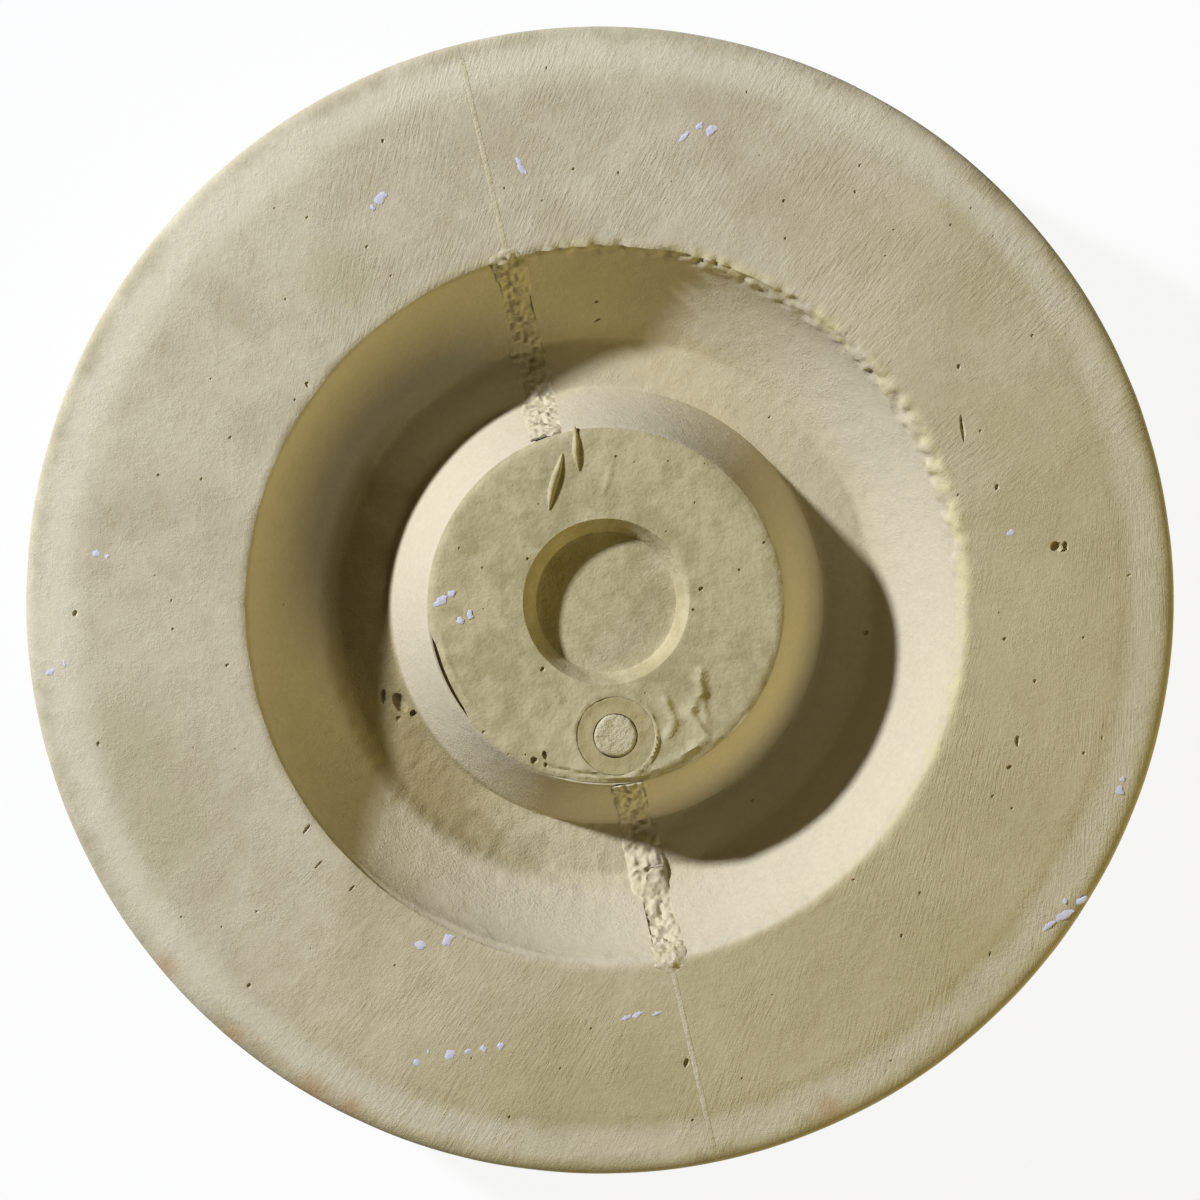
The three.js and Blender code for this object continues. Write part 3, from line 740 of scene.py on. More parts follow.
def halfPoints(side):
    rows, zone = halfSection()
    trueNormal, softNormal = sectionNormals(rows, 0), sectionNormals(rows, 5)
    blendOut = smoothStep(block["rimRadius"] + 4, 146, rows[:, 0])
    centreX, centreY = cavityX * (1 - blendOut), cavityY * (1 - blendOut)
    reach = side * (seamX - centreX) + seamGap / 2 + half["seamInset"]
    offsets = np.array(half["seamOffsets"], float)
    radius = rows[:, 0]
    ends = np.arccos((reach[:, None] + offsets[None, :]) / radius[:, None])
    main = np.linspace(1, -1, block["columns"])[None, 1:-1] * ends[:, -1:]
    angles = np.hstack([ends, main, -ends[:, ::-1]])
    inset = np.concatenate([offsets, np.full(main.shape[1], 99.0), offsets[::-1]])
    columnCount = angles.shape[1]
    inset = np.broadcast_to(inset, angles.shape)
    onFace = np.isin(zone, ["face", "edge"]) & (radius > block["rimRadius"] + half["tongue"])
    onFace &= radius < blockRadius - half["stripEnd"]
    inCavity = np.isin(zone, ["boss", "floor", "wall", "lip"])
    inCavity |= (zone == "face") & (radius <= block["rimRadius"] + half["tongue"])
    room = np.where(zone == "boss", (radius - block["rebate"]) * 0.9, 99)
    depth = onFace[:, None] * (inset <= half["stripGroove"])
    shareAhead = tongueShare(radius + 1.1)
    limit = half["beadGroove"] * shareAhead + half["stripGroove"] * (1 - shareAhead)
    depth = depth | (inCavity[:, None] & (inset <= limit[:, None]))
    depth = depth * np.minimum(half["grooveDepth"], np.maximum(room, 0))[:, None]
    cosine, sine = np.cos(angles), np.sin(angles)
    points = np.empty((*angles.shape, 3))
    points[..., 0] = side * radius[:, None] * cosine + centreX[:, None]
    points[..., 1] = radius[:, None] * sine + centreY[:, None]
    points[..., 2] = rows[:, 1][:, None]

    def move(normal, amount):
        points[..., 0] += amount * normal[:, 0][:, None] * side * cosine
        points[..., 1] += amount * normal[:, 0][:, None] * sine
        points[..., 2] += amount * normal[:, 1][:, None]

    # the wall comes up steeper on the side away from the broken rim
    around = np.arctan2(points[..., 1] - cavityY, points[..., 0] - cavityX)
    far = np.clip(0.3 + 1.2 * np.cos(around - math.radians(half["steepSide"])), 0, 1)
    nearLip = smoothStep(floorHeight + 8, faceHeight - block["lipDrop"], rows[:, 1])
    nearLip = nearLip * np.isin(zone, ["wall", "lip"]) * (radius < block["rimRadius"] - 0.5)
    pushed = half["steeper"] * far * nearLip[:, None]
    points[..., 0] += pushed * side * cosine
    points[..., 1] += pushed * sine
    flat = points.reshape(-1, 3)
    fromCavity = np.hypot(flat[:, 0] - cavityX, flat[:, 1] - cavityY)
    angle = np.arctan2(flat[:, 1] - cavityY, flat[:, 0] - cavityX)
    relief = halfRelief(flat, np.repeat(zone, columnCount), fromCavity, angle)
    relief = relief.reshape(angles.shape)
    move(trueNormal, relief * (depth == 0))
    move(softNormal, -depth)
    seamFace = seamX + side * (seamGap / 2 + half["seamInset"])
    points[:, 0, 0] = seamFace
    points[:, -1, 0] = seamFace
    limit = np.hypot(points[..., 0], points[..., 1])
    shrink = np.minimum(1, (blockRadius - 0.02) / limit)
    points[:, 1:-1, :2] *= shrink[:, 1:-1, None]
    points[..., 2] = np.maximum(points[..., 2], 0)
    return points, columnCount


natchSpots = {}
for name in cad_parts:
    if name.startswith("natch_pin_"):
        low, high = cadBox(name)
        natchSpots[name[len("natch_pin_"):]] = ((low[1] + high[1]) / 2, (low[2] + high[2]) / 2)


# The parting face: the outline of the end column, less the holes for the natches, whose walls and
# bottoms are added too.
def partingFace(outline, startIndex, firstFree, side, rear):
    spots = [spot for spot in natchSpots.values() if (spot[0] > 0) == rear]
    flat = [(float(y), float(z)) for y, z in outline]
    count = len(flat)
    edges = [(i, (i + 1) % count) for i in range(count)]
    holePoints, segments = [], 28
    for y, z in spots:
        first = count + len(holePoints)
        for k in range(segments):
            turn = 2 * math.pi * k / segments
            holePoints.append((y + half["natchHole"] * math.cos(turn),
                               z + half["natchHole"] * math.sin(turn)))
        edges += [(first + k, first + (k + 1) % segments) for k in range(segments)]
    made = delaunay_2d_cdt(flat + holePoints, edges, [], 1, 1e-5)
    sources = made[3]
    faces = []
    for triangle in made[2]:
        origins = [min(sources[i]) for i in triangle]
        # three corners on one hole's edge mean a triangle inside that hole
        if min(origins) >= count and len({(i - count) // segments for i in origins}) == 1:
            continue
        corners = [int(startIndex[i]) if i < count else firstFree + i - count for i in origins]
        faces.append(corners[::-1])
    seamFace = seamX + side * (seamGap / 2 + half["seamInset"])
    points = [(seamFace, y, z) for y, z in holePoints]
    rimCount = len(points)
    for number, (y, z) in enumerate(spots):
        start = number * segments
        deep = rimCount + number * (segments + 1)
        bottom = seamFace + side * half["natchHoleDepth"]
        points += [(bottom, py, pz) for _, py, pz in points[start:start + segments]]
        points.append((bottom, y, z))
        for k in range(segments):
            after = (k + 1) % segments
            a, b = firstFree + start + k, firstFree + start + after
            c, d = firstFree + deep + after, firstFree + deep + k
            faces.append([b, a, d, c])
            faces.append([c, d, firstFree + deep + segments])
    return points, faces


def makeHalf(name, side):
    points, columnCount = halfPoints(side)
    rowCount = len(points)
    flat = list(map(tuple, points.reshape(-1, 3)))
    faces = [list(face) for face in quadRing(rowCount, columnCount, True, False)]
    for column in (0, columnCount - 1):
        outline = points[:, column, 1:]
        index = np.arange(rowCount) * columnCount + column
        more, moreFaces = partingFace(outline, index, len(flat), side, column == 0)
        flat += more
        faces += moreFaces
    return meshObject(name, np.array(flat), faces)


# Height of the block's surface at a place on its face, its cavity wall or its floor.
def blockLevel(x, y):
    inward = math.hypot(x - cavityX, y - cavityY)
    if inward < block["rimRadius"]:
        wall = wallCurve()[::-1]
        return float(np.interp(inward, wall[:, 0], wall[:, 1]))
    out = math.hypot(x, y) - (blockRadius - block["edgeWidth"] - block["bevelWidth"])
    fall = max(0, min(out, block["bevelWidth"])) * block["bevelDrop"] / block["bevelWidth"]
    return faceHeight - fall


# Points that carry the size and turn of each void, for the tree that cuts them.
def voidPoints(name, voids, height=None):
    mesh = bpy.data.meshes.new(name)
    mesh.from_pydata([(x * metre, y * metre, (height or blockLevel(x, y)) * metre)
                      for x, y, *_ in voids], [], [])
    size = mesh.attributes.new("voidSize", "FLOAT_VECTOR", "POINT")
    turn = mesh.attributes.new("voidTurn", "FLOAT_VECTOR", "POINT")
    for i, (_, _, width, length, degrees) in enumerate(voids):
        size.data[i].vector = (width * metre, length * metre, min(width, length) * 1.1 * metre)
        turn.data[i].vector = (0, 0, -math.radians(degrees))
    holder = bpy.data.objects.new(name, mesh)
    bpy.context.scene.collection.objects.link(holder)
    return holder


# A Geometry Nodes tree with the given inputs after its geometry.
def newTree(name, sockets):
    tree = bpy.data.node_groups.new(name, "GeometryNodeTree")
    face = tree.interface
    for label, kind in [("Geometry", "Geometry"), *sockets]:
        face.new_socket(label, in_out="INPUT", socket_type="NodeSocket" + kind)
    face.new_socket("Geometry", in_out="OUTPUT", socket_type="NodeSocketGeometry")
    return tree, tree.nodes.new("NodeGroupInput").outputs


def storedShape(tree):
    return [addNode(tree, "GeometryNodeInputNamedAttribute", {"Name": label},
            data_type="FLOAT_VECTOR") for label in ("voidSize", "voidTurn")]


# Moves points about by up to half of the reach, so that a ball or a drop looks irregular.
def shaken(tree, shape, scale, detail, reach):
    spread = addNode(tree, "ShaderNodeTexNoise", {"Scale": scale, "Detail": detail})
    middled = addNode(tree, "ShaderNodeVectorMath", spread["Color"], (0.5, 0.5, 0.5),
        operation="SUBTRACT")
    shift = addNode(tree, "ShaderNodeVectorMath", middled[0], reach, operation="MULTIPLY")
    return addNode(tree, "GeometryNodeSetPosition", {"Geometry": shape[0], "Offset": shift[0]})


# Geometry Nodes: cuts ball-shaped air voids into a piece, some at given points and some scattered
# over its level top, and ends in one plain mesh of the given material.
def voidTree():
    tree, given = newTree("airVoids", [
        ("Points", "Object"), ("Pinholes per square metre", "Float"), ("Smallest", "Float"),
        ("Largest", "Float"), ("Level above", "Float"), ("Seed", "Int"), ("Material", "Material")])
    normal = addNode(tree, "GeometryNodeInputNormal")
    up = addNode(tree, "ShaderNodeSeparateXYZ", normal[0])
    level = addNode(tree, "FunctionNodeCompare", up[2], 0.96, operation="GREATER_THAN")
    spot = addNode(tree, "GeometryNodeInputPosition")
    parts = addNode(tree, "ShaderNodeSeparateXYZ", spot[0])
    high = addNode(tree, "FunctionNodeCompare", parts[2], given["Level above"],
        operation="GREATER_THAN")
    chosen = addNode(tree, "FunctionNodeBooleanMath", level[0], high[0])
    scatter = addNode(tree, "GeometryNodeDistributePointsOnFaces",
        {"Mesh": given["Geometry"], "Selection": chosen[0], "Distance Min": 0.006,
            "Density Max": given["Pinholes per square metre"], "Seed": given["Seed"]},
        distribute_method="POISSON")
    ball = addNode(tree, "GeometryNodeMeshIcoSphere", {"Radius": 1.0, "Subdivisions": 2})
    size = addNode(tree, "FunctionNodeRandomValue",
        {2: given["Smallest"], 3: given["Largest"], "Seed": 3})
    pinholes = addNode(tree, "GeometryNodeInstanceOnPoints",
        {"Points": scatter["Points"], "Instance": ball[0], "Scale": size[1]})
    holder = addNode(tree, "GeometryNodeObjectInfo", {"Object": given["Points"]})
    stored, turned = storedShape(tree)
    largeBall = addNode(tree, "GeometryNodeMeshIcoSphere", {"Radius": 1.0, "Subdivisions": 3})
    voids = addNode(tree, "GeometryNodeInstanceOnPoints",
        {"Points": holder["Geometry"], "Instance": largeBall[0], "Scale": stored[0],
            "Rotation": turned[0]})
    joined = tree.nodes.new("GeometryNodeJoinGeometry")
    tree.links.new(pinholes[0], joined.inputs[0])
    tree.links.new(voids[0], joined.inputs[0])
    real = addNode(tree, "GeometryNodeRealizeInstances", joined.outputs[0])
    rough = shaken(tree, real, 900.0, 1.0, (0.0007, 0.0007, 0.0007))
    cut = addNode(tree, "GeometryNodeMeshBoolean", given["Geometry"], rough[0],
        operation="DIFFERENCE", solver="MANIFOLD")
    plain = addNode(tree, "GeometryNodeRealizeInstances", cut[0])
    coloured = addNode(tree, "GeometryNodeSetMaterial",
        {"Geometry": plain[0], "Material": given["Material"]})
    addNode(tree, "NodeGroupOutput", coloured[0])
    return tree


airVoids = voidTree()


def setInputs(change, values):
    for item in change.node_group.interface.items_tree:
        if item.in_out == "INPUT" and item.name in values:
            change[item.identifier] = values[item.name]


def cutVoids(piece, holder, material, density, smallest, largest, levelAbove, seed):
    change = piece.modifiers.new("airVoids", "NODES")
    change.node_group = airVoids
    setInputs(change, {
        "Points": holder, "Pinholes per square metre": float(density),
        "Smallest": smallest * metre, "Largest": largest * metre,
        "Level above": levelAbove * metre, "Seed": seed, "Material": material})
    applyModifiers(piece)
    bpy.data.objects.remove(holder)


def placePiece(piece, body, node):
    finishMesh(piece)
    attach(piece, body)
    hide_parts(node)


for name, side, body, seed in (("plasterHalfLeft", -1, "left_half", 5),
                               ("plasterHalfRight", 1, "right_half", 8)):
    piece = makeHalf(name, side)
    before = len(piece.data.polygons)
    mine = [spot for spot in faceVoids if (spot[0] - seamX) * side > 0]
    holder = voidPoints(name + "Voids", mine)
    cutVoids(piece, holder, castingMaterial, 900, 0.28, 0.62, faceHeight - 1, seed)
    placePiece(piece, body, "mould_half_left" if side < 0 else "mould_half_right")
    print(name, before, "faces before voids,", len(piece.data.polygons), "after")


fills = {
    "rear": {
        "side": 1, "node": "seam_fill_rear", "seed": 21,
        "widthLeft": 5.6, "widthRight": 5.2, "proud": 0.10, "rough": 1.05, "valley": 0.0,
        "lumpAt": 0.83, "lump": 0.4, "bossWidth": 5.6, "gapAt": 0.13, "gap": 1.3,
    },
    "front": {
        "side": -1, "node": "seam_fill_front", "seed": 34,
        "widthLeft": 5.6, "widthRight": 5.2, "proud": 0.35, "rough": 1.0, "valley": 1.5,
        "lumpAt": 0.47, "lump": 2.6, "bossWidth": 5.4, "gapAt": 0.9, "gap": 0.9,
    },
}
fillShape = {"step": 0.45, "across": 30, "buried": 2.2, "faceHalfWidth": 0.8, "faceCrown": 0.07,
             "faceEdge": -0.06, "cavityLimit": 5.2, "endMargin": 4.95, "topMargin": 0.35}


# The surface along the seam on one side, from the outer end on the face to the boss top, as
# [y, z] points a step apart.
def seamPath(side):
    seamToCavity = seamX - cavityX
    outer = blockRadius - fillShape["endMargin"]
    bevelStart = blockRadius - block["edgeWidth"] - block["bevelWidth"]
    slope = block["bevelDrop"] / block["bevelWidth"]
    wall = wallCurve()

    def along(radius):
        return cavityY + side * math.sqrt(radius ** 2 - seamToCavity ** 2)

    corners = [(side * outer, faceHeight - (outer - bevelStart) * slope),
               (side * bevelStart, faceHeight), (along(block["rimRadius"]), faceHeight)]
    corners += [(along(radius), z) for radius, z in wall]
    corners.append((along(block["bossFoot"]), floorHeight))
    rise = (block["bossFoot"] - block["bossTop"]) / block["cavityDepth"]
    top = fillShape["topMargin"]
    corners.append((along(block["bossTop"] + rise * top), faceHeight - top))
    rows, _ = sectionRows(corners, [fillShape["step"]] * len(corners), 0.8, False)
    return rows


def makeFill(name, look):
    path = seamPath(look["side"])
    count = len(path)
    along = np.gradient(path, axis=0)
    along /= np.linalg.norm(along, axis=1, keepdims=True)
    normal = np.stack([-along[:, 1], along[:, 0]], axis=1) * -look["side"]
    for _ in range(4):
        normal[1:-1] = normal[1:-1] + normal[:-2] + normal[2:]
        normal /= np.linalg.norm(normal, axis=1, keepdims=True)
    fromCavity = np.abs(path[:, 0] - cavityY)
    inCavity = tongueShare(np.hypot(fromCavity, seamX - cavityX))
    lengths = np.concatenate([[0], np.cumsum(np.linalg.norm(np.diff(path, axis=0), axis=1))])
    cavityStart = lengths[np.argmax(inCavity > 0.5)]
    share = np.clip((lengths - cavityStart) / (lengths[-1] - cavityStart), 0, 1)
    spine = np.stack([np.full(count, seamX), path[:, 0], path[:, 1]], axis=1)
    seed = look["seed"]
    wander = cellNoise(spine, 7, seed)
    crumble = cellNoise(spine, 2.2, seed + 1)
    onBoss = smoothStep(0.72, 0.8, share)
    gap = look["gap"] * np.exp(-((share - look["gapAt"]) / 0.12) ** 2)
    widthLeft = look["widthLeft"] + 0.8 * wander + 0.6 * crumble - gap
    widthLeft = widthLeft * (1 - onBoss) + (look["bossWidth"] + 0.4 * wander) * onBoss
    widthRight = np.minimum(look["widthRight"] - 0.5 * np.abs(wander) + 0.2 * crumble,
                            fillShape["cavityLimit"])
    faceWidth = fillShape["faceHalfWidth"]
    widthLeft = faceWidth * (1 - inCavity) + widthLeft * inCavity
    widthRight = faceWidth * (1 - inCavity) + widthRight * inCavity
    lump = look["lump"] * np.exp(-((share - look["lumpAt"]) / 0.07) ** 2) * inCavity
    across = np.linspace(-1, 1, fillShape["across"])
    top = np.empty((count, len(across), 3))
    width = np.where(across[None, :] < 0, widthLeft[:, None], widthRight[:, None])
    width = width + lump[:, None] * 0.25 * (across[None, :] < 0)
    top[..., 0] = seamX + across[None, :] * width
    top[..., 1] = path[:, 0][:, None]
    top[..., 2] = path[:, 1][:, None]
    flat = top.reshape(-1, 3)
    rough = (0.8 * cellNoise(flat, 2.4, seed + 3) + 0.8 * cellNoise(flat, 1.15, seed + 4)
             + 0.7 * cellNoise(flat, 4.5, seed + 5)).reshape(top.shape[:2])
    crown = np.sqrt(np.maximum(0, 1 - across ** 2))[None, :]
    ragged = cellNoise(flat, 3.4, seed + 7).reshape(top.shape[:2])
    high = (look["proud"] + lump)[:, None] * crown
    high = high + look["rough"] * rough * (0.15 + 0.85 * crown)
    high = high + (0.55 * ragged - 0.35) * (1 - crown)
    upWall = smoothStep(0.05, 0.12, share) * (1 - smoothStep(0.3, 0.4, share))
    broken = 0.6 + 0.6 * cellNoise(spine, 4, seed + 6)
    high = high - look["valley"] * (upWall * broken)[:, None] * np.exp(
        -((across[None, :] - 0.1) / 0.3) ** 2)
    bevel = fillShape["faceEdge"] + (fillShape["faceCrown"] - fillShape["faceEdge"]) * crown
    same = halfRelief(flat, np.full(len(flat), "face"),
                      np.hypot(flat[:, 0] - cavityX, flat[:, 1] - cavityY),
                      np.arctan2(flat[:, 1] - cavityY, flat[:, 0] - cavityX))
    bevel = bevel + same.reshape(top.shape[:2])
    height = bevel * (1 - inCavity[:, None]) + high * inCavity[:, None]
    top[..., 1] += height * normal[:, 0][:, None]
    top[..., 2] += height * normal[:, 1][:, None]
    buried = np.linspace(0.92, -0.92, 5)
    grooveHalf = np.where(inCavity > 0.5, 3.85, 0.6)
    under = np.empty((count, len(buried), 3))
    under[..., 0] = seamX + buried[None, :] * np.minimum(
        grooveHalf, np.minimum(widthLeft, widthRight) * 0.95)[:, None]
    nearTop = smoothStep(0, 9, faceHeight - path[:, 1]) + (fromCavity > 70)
    depth = fillShape["buried"] * np.clip(nearTop, 0.15, 1)
    under[..., 1] = (path[:, 0] - depth * normal[:, 0])[:, None]
    under[..., 2] = (path[:, 1] - depth * normal[:, 1])[:, None]
    ring = np.concatenate([top, under], axis=1)
    columns = ring.shape[1]
    faces = [list(face) for face in quadRing(count, columns, False, True)]
    faces.append(list(range(columns))[::-1])
    faces.append([(count - 1) * columns + k for k in range(columns)])
    piece = meshObject(name, ring.reshape(-1, 3), faces)
    piece.data.materials.append(fillMaterial)
    return piece


for which, look in fills.items():
    piece = makeFill("seamFill" + which.capitalize(), look)
    placePiece(piece, "left_half", look["node"])
print("seam fills made")


plug = {
    "proud": 0.8, "flangeDepth": 8, "smear": 0.75, "edgeWidth": 0.9, "notchDepth": 1.6,
    "spigotTop": 36, "spigotFoot": 33, "recessRadius": 24.4, "recessFloor": 20.6,
    "recessDepth": 8, "recessX": 0.4, "recessY": 1.2, "columns": 360, "row": 0.8, "highest": 1.45,
    "crackFrom": 173, "crackTo": 210, "crackWidth": 2.1,
    "lowCrackFrom": 236, "lowCrackTo": 270,
}
plugTop = faceHeight + plug["proud"]

# flash and smears on the plug's top: from, to, half width, height
plugRidges = [
    ((23.9, -27.5), (22.8, -33.5), 1.6, 1.25), ((22.8, -33.5), (18.0, -38.0), 1.5, 1.2),
    ((22.8, -33.5), (22.5, -41.5), 1.2, 1.0), ((18.0, -38.0), (21.8, -46.5), 1.6, 1.1),
    ((21.8, -46.5), (24.0, -47.5), 1.5, 0.9), ((12.0, -33.0), (13.2, -40.0), 1.5, 1.0),
    ((13.2, -40.0), (10.0, -44.0), 1.3, 0.9), ((10.0, -44.0), (14.5, -49.5), 1.2, 0.8),
    ((14.5, -49.5), (5.0, -52.0), 1.3, 0.9), ((21.5, -46.0), (14.5, -49.5), 1.3, 1.0),
    ((18.0, -38.0), (13.2, -40.0), 0.9, 0.6), ((5.0, -52.0), (-2.0, -52.6), 1.0, 0.7),
    ((-30, 5), (-22, -30), 0.7, 0.2), ((-26, 18), (-30, -2), 0.6, 0.15),
    ((33, 22), (38, 15), 1.2, 0.35), ((25, 36), (31, 31), 1.1, 0.3),
    ((38, 26), (43, 20), 1.0, 0.3), ((10, 41), (15, 38), 1.3, 0.3),
    ((12.5, 38), (8, 30), 0.8, 0.3), ((-19.5, -24.0), (-18.5, -25.6), 1.4, 0.5),
]
plugVoids = [
    (-18, 16.6, 0.5, 0.5, 0), (50.6, 5.6, 0.5, 0.5, 0), (41.7, -0.6, 0.5, 0.5, 0),
    (29.6, -3.5, 0.8, 0.7, 0), (-21, -16, 0.8, 0.8, 0), (25.9, -9, 0.5, 0.5, 0),
    (-37, -38.5, 0.8, 1.2, 60), (-29.5, -41.4, 1.3, 1.1, 30), (-26, -40.7, 0.9, 1.5, -10),
    (-26.5, -43.5, 0.7, 0.9, 0), (-19, -24.8, 0.5, 0.5, 0), (-42, -30, 0.5, 0.5, 0),
    (14, 40, 0.4, 0.4, 0), (39, 32, 0.4, 0.4, 0),
]


def plugRelief(x, y, onTop):
    points = np.stack([x, y, np.full(len(x), plugTop)], axis=1)
    relief = 0.18 * cellNoise(points, 16, 41) + 0.16 * cellNoise(points, 5, 42)
    relief += 0.08 * cellNoise(points, 2.2, 43)
    lumpy = cellNoise(points, 2.0, 44)
    flash = np.zeros(len(x))
    for start, end, width, height in plugRidges:
        a, b = np.array(start), np.array(end)
        flat = np.stack([x, y], axis=1)
        share = np.clip(((flat - a) @ (b - a)) / ((b - a) @ (b - a)), 0, 1)
        away = np.linalg.norm(flat - (a + share[:, None] * (b - a)), axis=1)
        swell = height * (1 + 0.4 * lumpy) * np.exp(-(away / (0.95 * width)) ** 2)
        flash = np.maximum(flash, swell)
    relief += flash
    # a thin raised edge round the key, strongest on one side
    fromKey = np.hypot(x - keyX, y - keyY)
    keyTurn = np.arctan2(y - keyY, x - keyX)
    lip = 0.4 + 0.7 * np.clip(np.cos(keyTurn + 0.9), 0, 1) + 0.4 * cellNoise(points, 2.5, 47)
    relief += np.clip(lip, 0, 1.1) * np.exp(-((fromKey - keyRadius - 0.8) / 0.6) ** 2)
    # and one inside the open crack
    fromMiddle = np.hypot(x - cavityX, y - cavityY)
    turn = np.degrees(np.arctan2(y - cavityY, x - cavityX)) % 360
    along = smoothStep(plug["crackFrom"], plug["crackFrom"] + 8, turn)
    along *= 1 - smoothStep(plug["crackTo"] - 6, plug["crackTo"] + 3, turn)
    relief += 0.45 * along * np.exp(-((fromMiddle - flangeRadius + 2.6) / 0.8) ** 2)
    # and a torn line along the lower edge
    torn = smoothStep(plug["lowCrackFrom"] - 4, plug["lowCrackFrom"] + 4, turn)
    torn *= 1 - smoothStep(plug["lowCrackTo"] - 4, plug["lowCrackTo"] + 4, turn)
    line = flangeRadius - 2.0 + 0.9 * cellNoise(points, 5, 48) + 0.4 * cellNoise(points, 1.8, 49)
    relief -= 0.7 * torn * np.exp(-((fromMiddle - line) / 0.4) ** 2)
    relief += 0.3 * torn * np.exp(-((fromMiddle - line + 1.1) / 0.6) ** 2)
    return np.minimum(relief, plug["highest"]) * onTop


def makePlug():
    top, recess = plugTop, plugTop - plug["recessDepth"]
    seat = faceHeight - plug["flangeDepth"]
    corners = [(0, plugFoot), (plug["spigotFoot"], plugFoot), (plug["spigotTop"], seat),
               (flangeRadius, seat), (flangeRadius, faceHeight + 0.02),
               (flangeRadius + plug["smear"], faceHeight),
               (flangeRadius + plug["smear"], faceHeight + 0.12),
               (flangeRadius - plug["edgeWidth"], top), (plug["recessRadius"], top),
               (plug["recessFloor"], recess), (0, recess)]
    row = plug["row"]
    rows, mark = sectionRows(corners, [9, 9, 4, 0.5, 0.2, 0.1, 0.3, row, 0.7, 1.1], 0.16,
                             False)
    rows, mark = rows[1:-1], np.maximum(mark[1:-1] - 2, 0)
    count, columns = len(rows), plug["columns"]
    angle = np.linspace(0, 2 * math.pi, columns, endpoint=False)
    turn = np.degrees(angle) % 360
    radius = np.repeat(rows[:, :1], columns, axis=1)
    height = np.repeat(rows[:, 1:], columns, axis=1)
    rim = np.stack([np.cos(angle) * 50, np.sin(angle) * 50, np.zeros(columns)], axis=1)
    crack = smoothStep(plug["crackFrom"], plug["crackFrom"] + 12, turn)
    crack *= 1 - smoothStep(plug["crackTo"] - 12, plug["crackTo"], turn)
    crack *= plug["crackWidth"] * (1 + 0.35 * cellNoise(rim, 4, 50))
    lowCrack = smoothStep(plug["lowCrackFrom"], plug["lowCrackFrom"] + 8, turn)
    lowCrack *= 1 - smoothStep(plug["lowCrackTo"] - 8, plug["lowCrackTo"], turn)
    ragged = 0.5 * np.clip(cellNoise(rim, 2.2, 52) - 0.45, 0, 1)
    pull = crack + lowCrack * (0.35 + 0.5 * np.abs(cellNoise(rim, 2.6, 53))) + ragged
    edge = smoothStep(flangeRadius - 6, flangeRadius - 0.5, radius)
    flange = smoothStep(top - plug["notchDepth"] - 0.6, top - plug["notchDepth"] + 0.2, height)
    radius = radius - pull[None, :] * edge * flange
    x = radius * np.cos(angle) + cavityX
    y = radius * np.sin(angle) + cavityY
    inRecess = np.isin(mark, [6, 7])[:, None] | (rows[:, 0][:, None] < plug["recessRadius"] + 0.1)
    inRecess = inRecess & (height > seat - 5)
    near = 1 - smoothStep(plug["recessRadius"], plug["recessRadius"] + 12, radius)
    upper = height > seat - 5
    x = x + plug["recessX"] * near * upper
    y = y + plug["recessY"] * near * upper
    onTop = (np.isin(mark, [4, 5])[:, None] & (height > top - 0.6)).astype(float)
    onTop = onTop * np.ones_like(x)
    relief = plugRelief(x.ravel(), y.ravel(), onTop.ravel()).reshape(x.shape)
    inner = inRecess & (mark != 5)[:, None]
    pits = np.stack([x.ravel(), y.ravel(), height.ravel()], axis=1)
    relief = relief + inner * (0.10 * cellNoise(pits, 7, 61)
                               + 0.05 * cellNoise(pits, 2.5, 62)).reshape(x.shape)
    lift = height + relief
    points = np.stack([x, y, lift], axis=-1).reshape(-1, 3)
    faces = [list(face) for face in quadRing(count, columns, False, True)]
    bottom, middle = len(points), len(points) + 1
    points = np.vstack([points, [cavityX, cavityY, plugFoot],
                        [cavityX + plug["recessX"], cavityY + plug["recessY"], recess]])
    last = (count - 1) * columns
    for k in range(columns):
        after = (k + 1) % columns
        faces.append([bottom, after, k])
        faces.append([middle, last + k, last + after])
    return meshObject("corePlug", points, faces)


# Thin fins of flash standing on the plug: middle, length, width, height, turn in degrees.
plugFins = [
    ((cavityX - 6.2, cavityY + 39), 17, 3.0, 1.55, 65, 0.05),
    ((cavityX + 2.0, cavityY + 47), 13, 2.4, 1.4, 84, -0.1),
]


def finBody(name, middle, length, width, height, degrees, lean):
    steps, around = 26, 8
    turn = math.radians(degrees)
    forward = np.array([math.cos(turn), math.sin(turn), 0])
    sideways = np.array([-math.sin(turn), math.cos(turn), 0])
    points = []
    for i in range(steps + 1):
        share = i / steps
        bulge = math.sin(math.pi * (0.04 + 0.92 * share)) ** 0.8
        for k in range(around):
            part = k / (around - 1)
            across = (part - 0.5) * width * bulge
            rise = height * bulge * math.sin(math.pi * part)
            spot = np.array([*middle, plugTop - 0.9]) + forward * (share - 0.5) * length
            spot = spot + sideways * (across + lean * rise + 0.35 * math.sin(5 * share))
            points.append(spot + np.array([0, 0, rise + 0.9 * (0 < k < around - 1)]))
    faces = [list(face) for face in quadRing(steps + 1, around, False, True)]
    faces.append(list(range(around))[::-1])
    faces.append([steps * around + k for k in range(around)])
    return meshObject(name, points, faces)


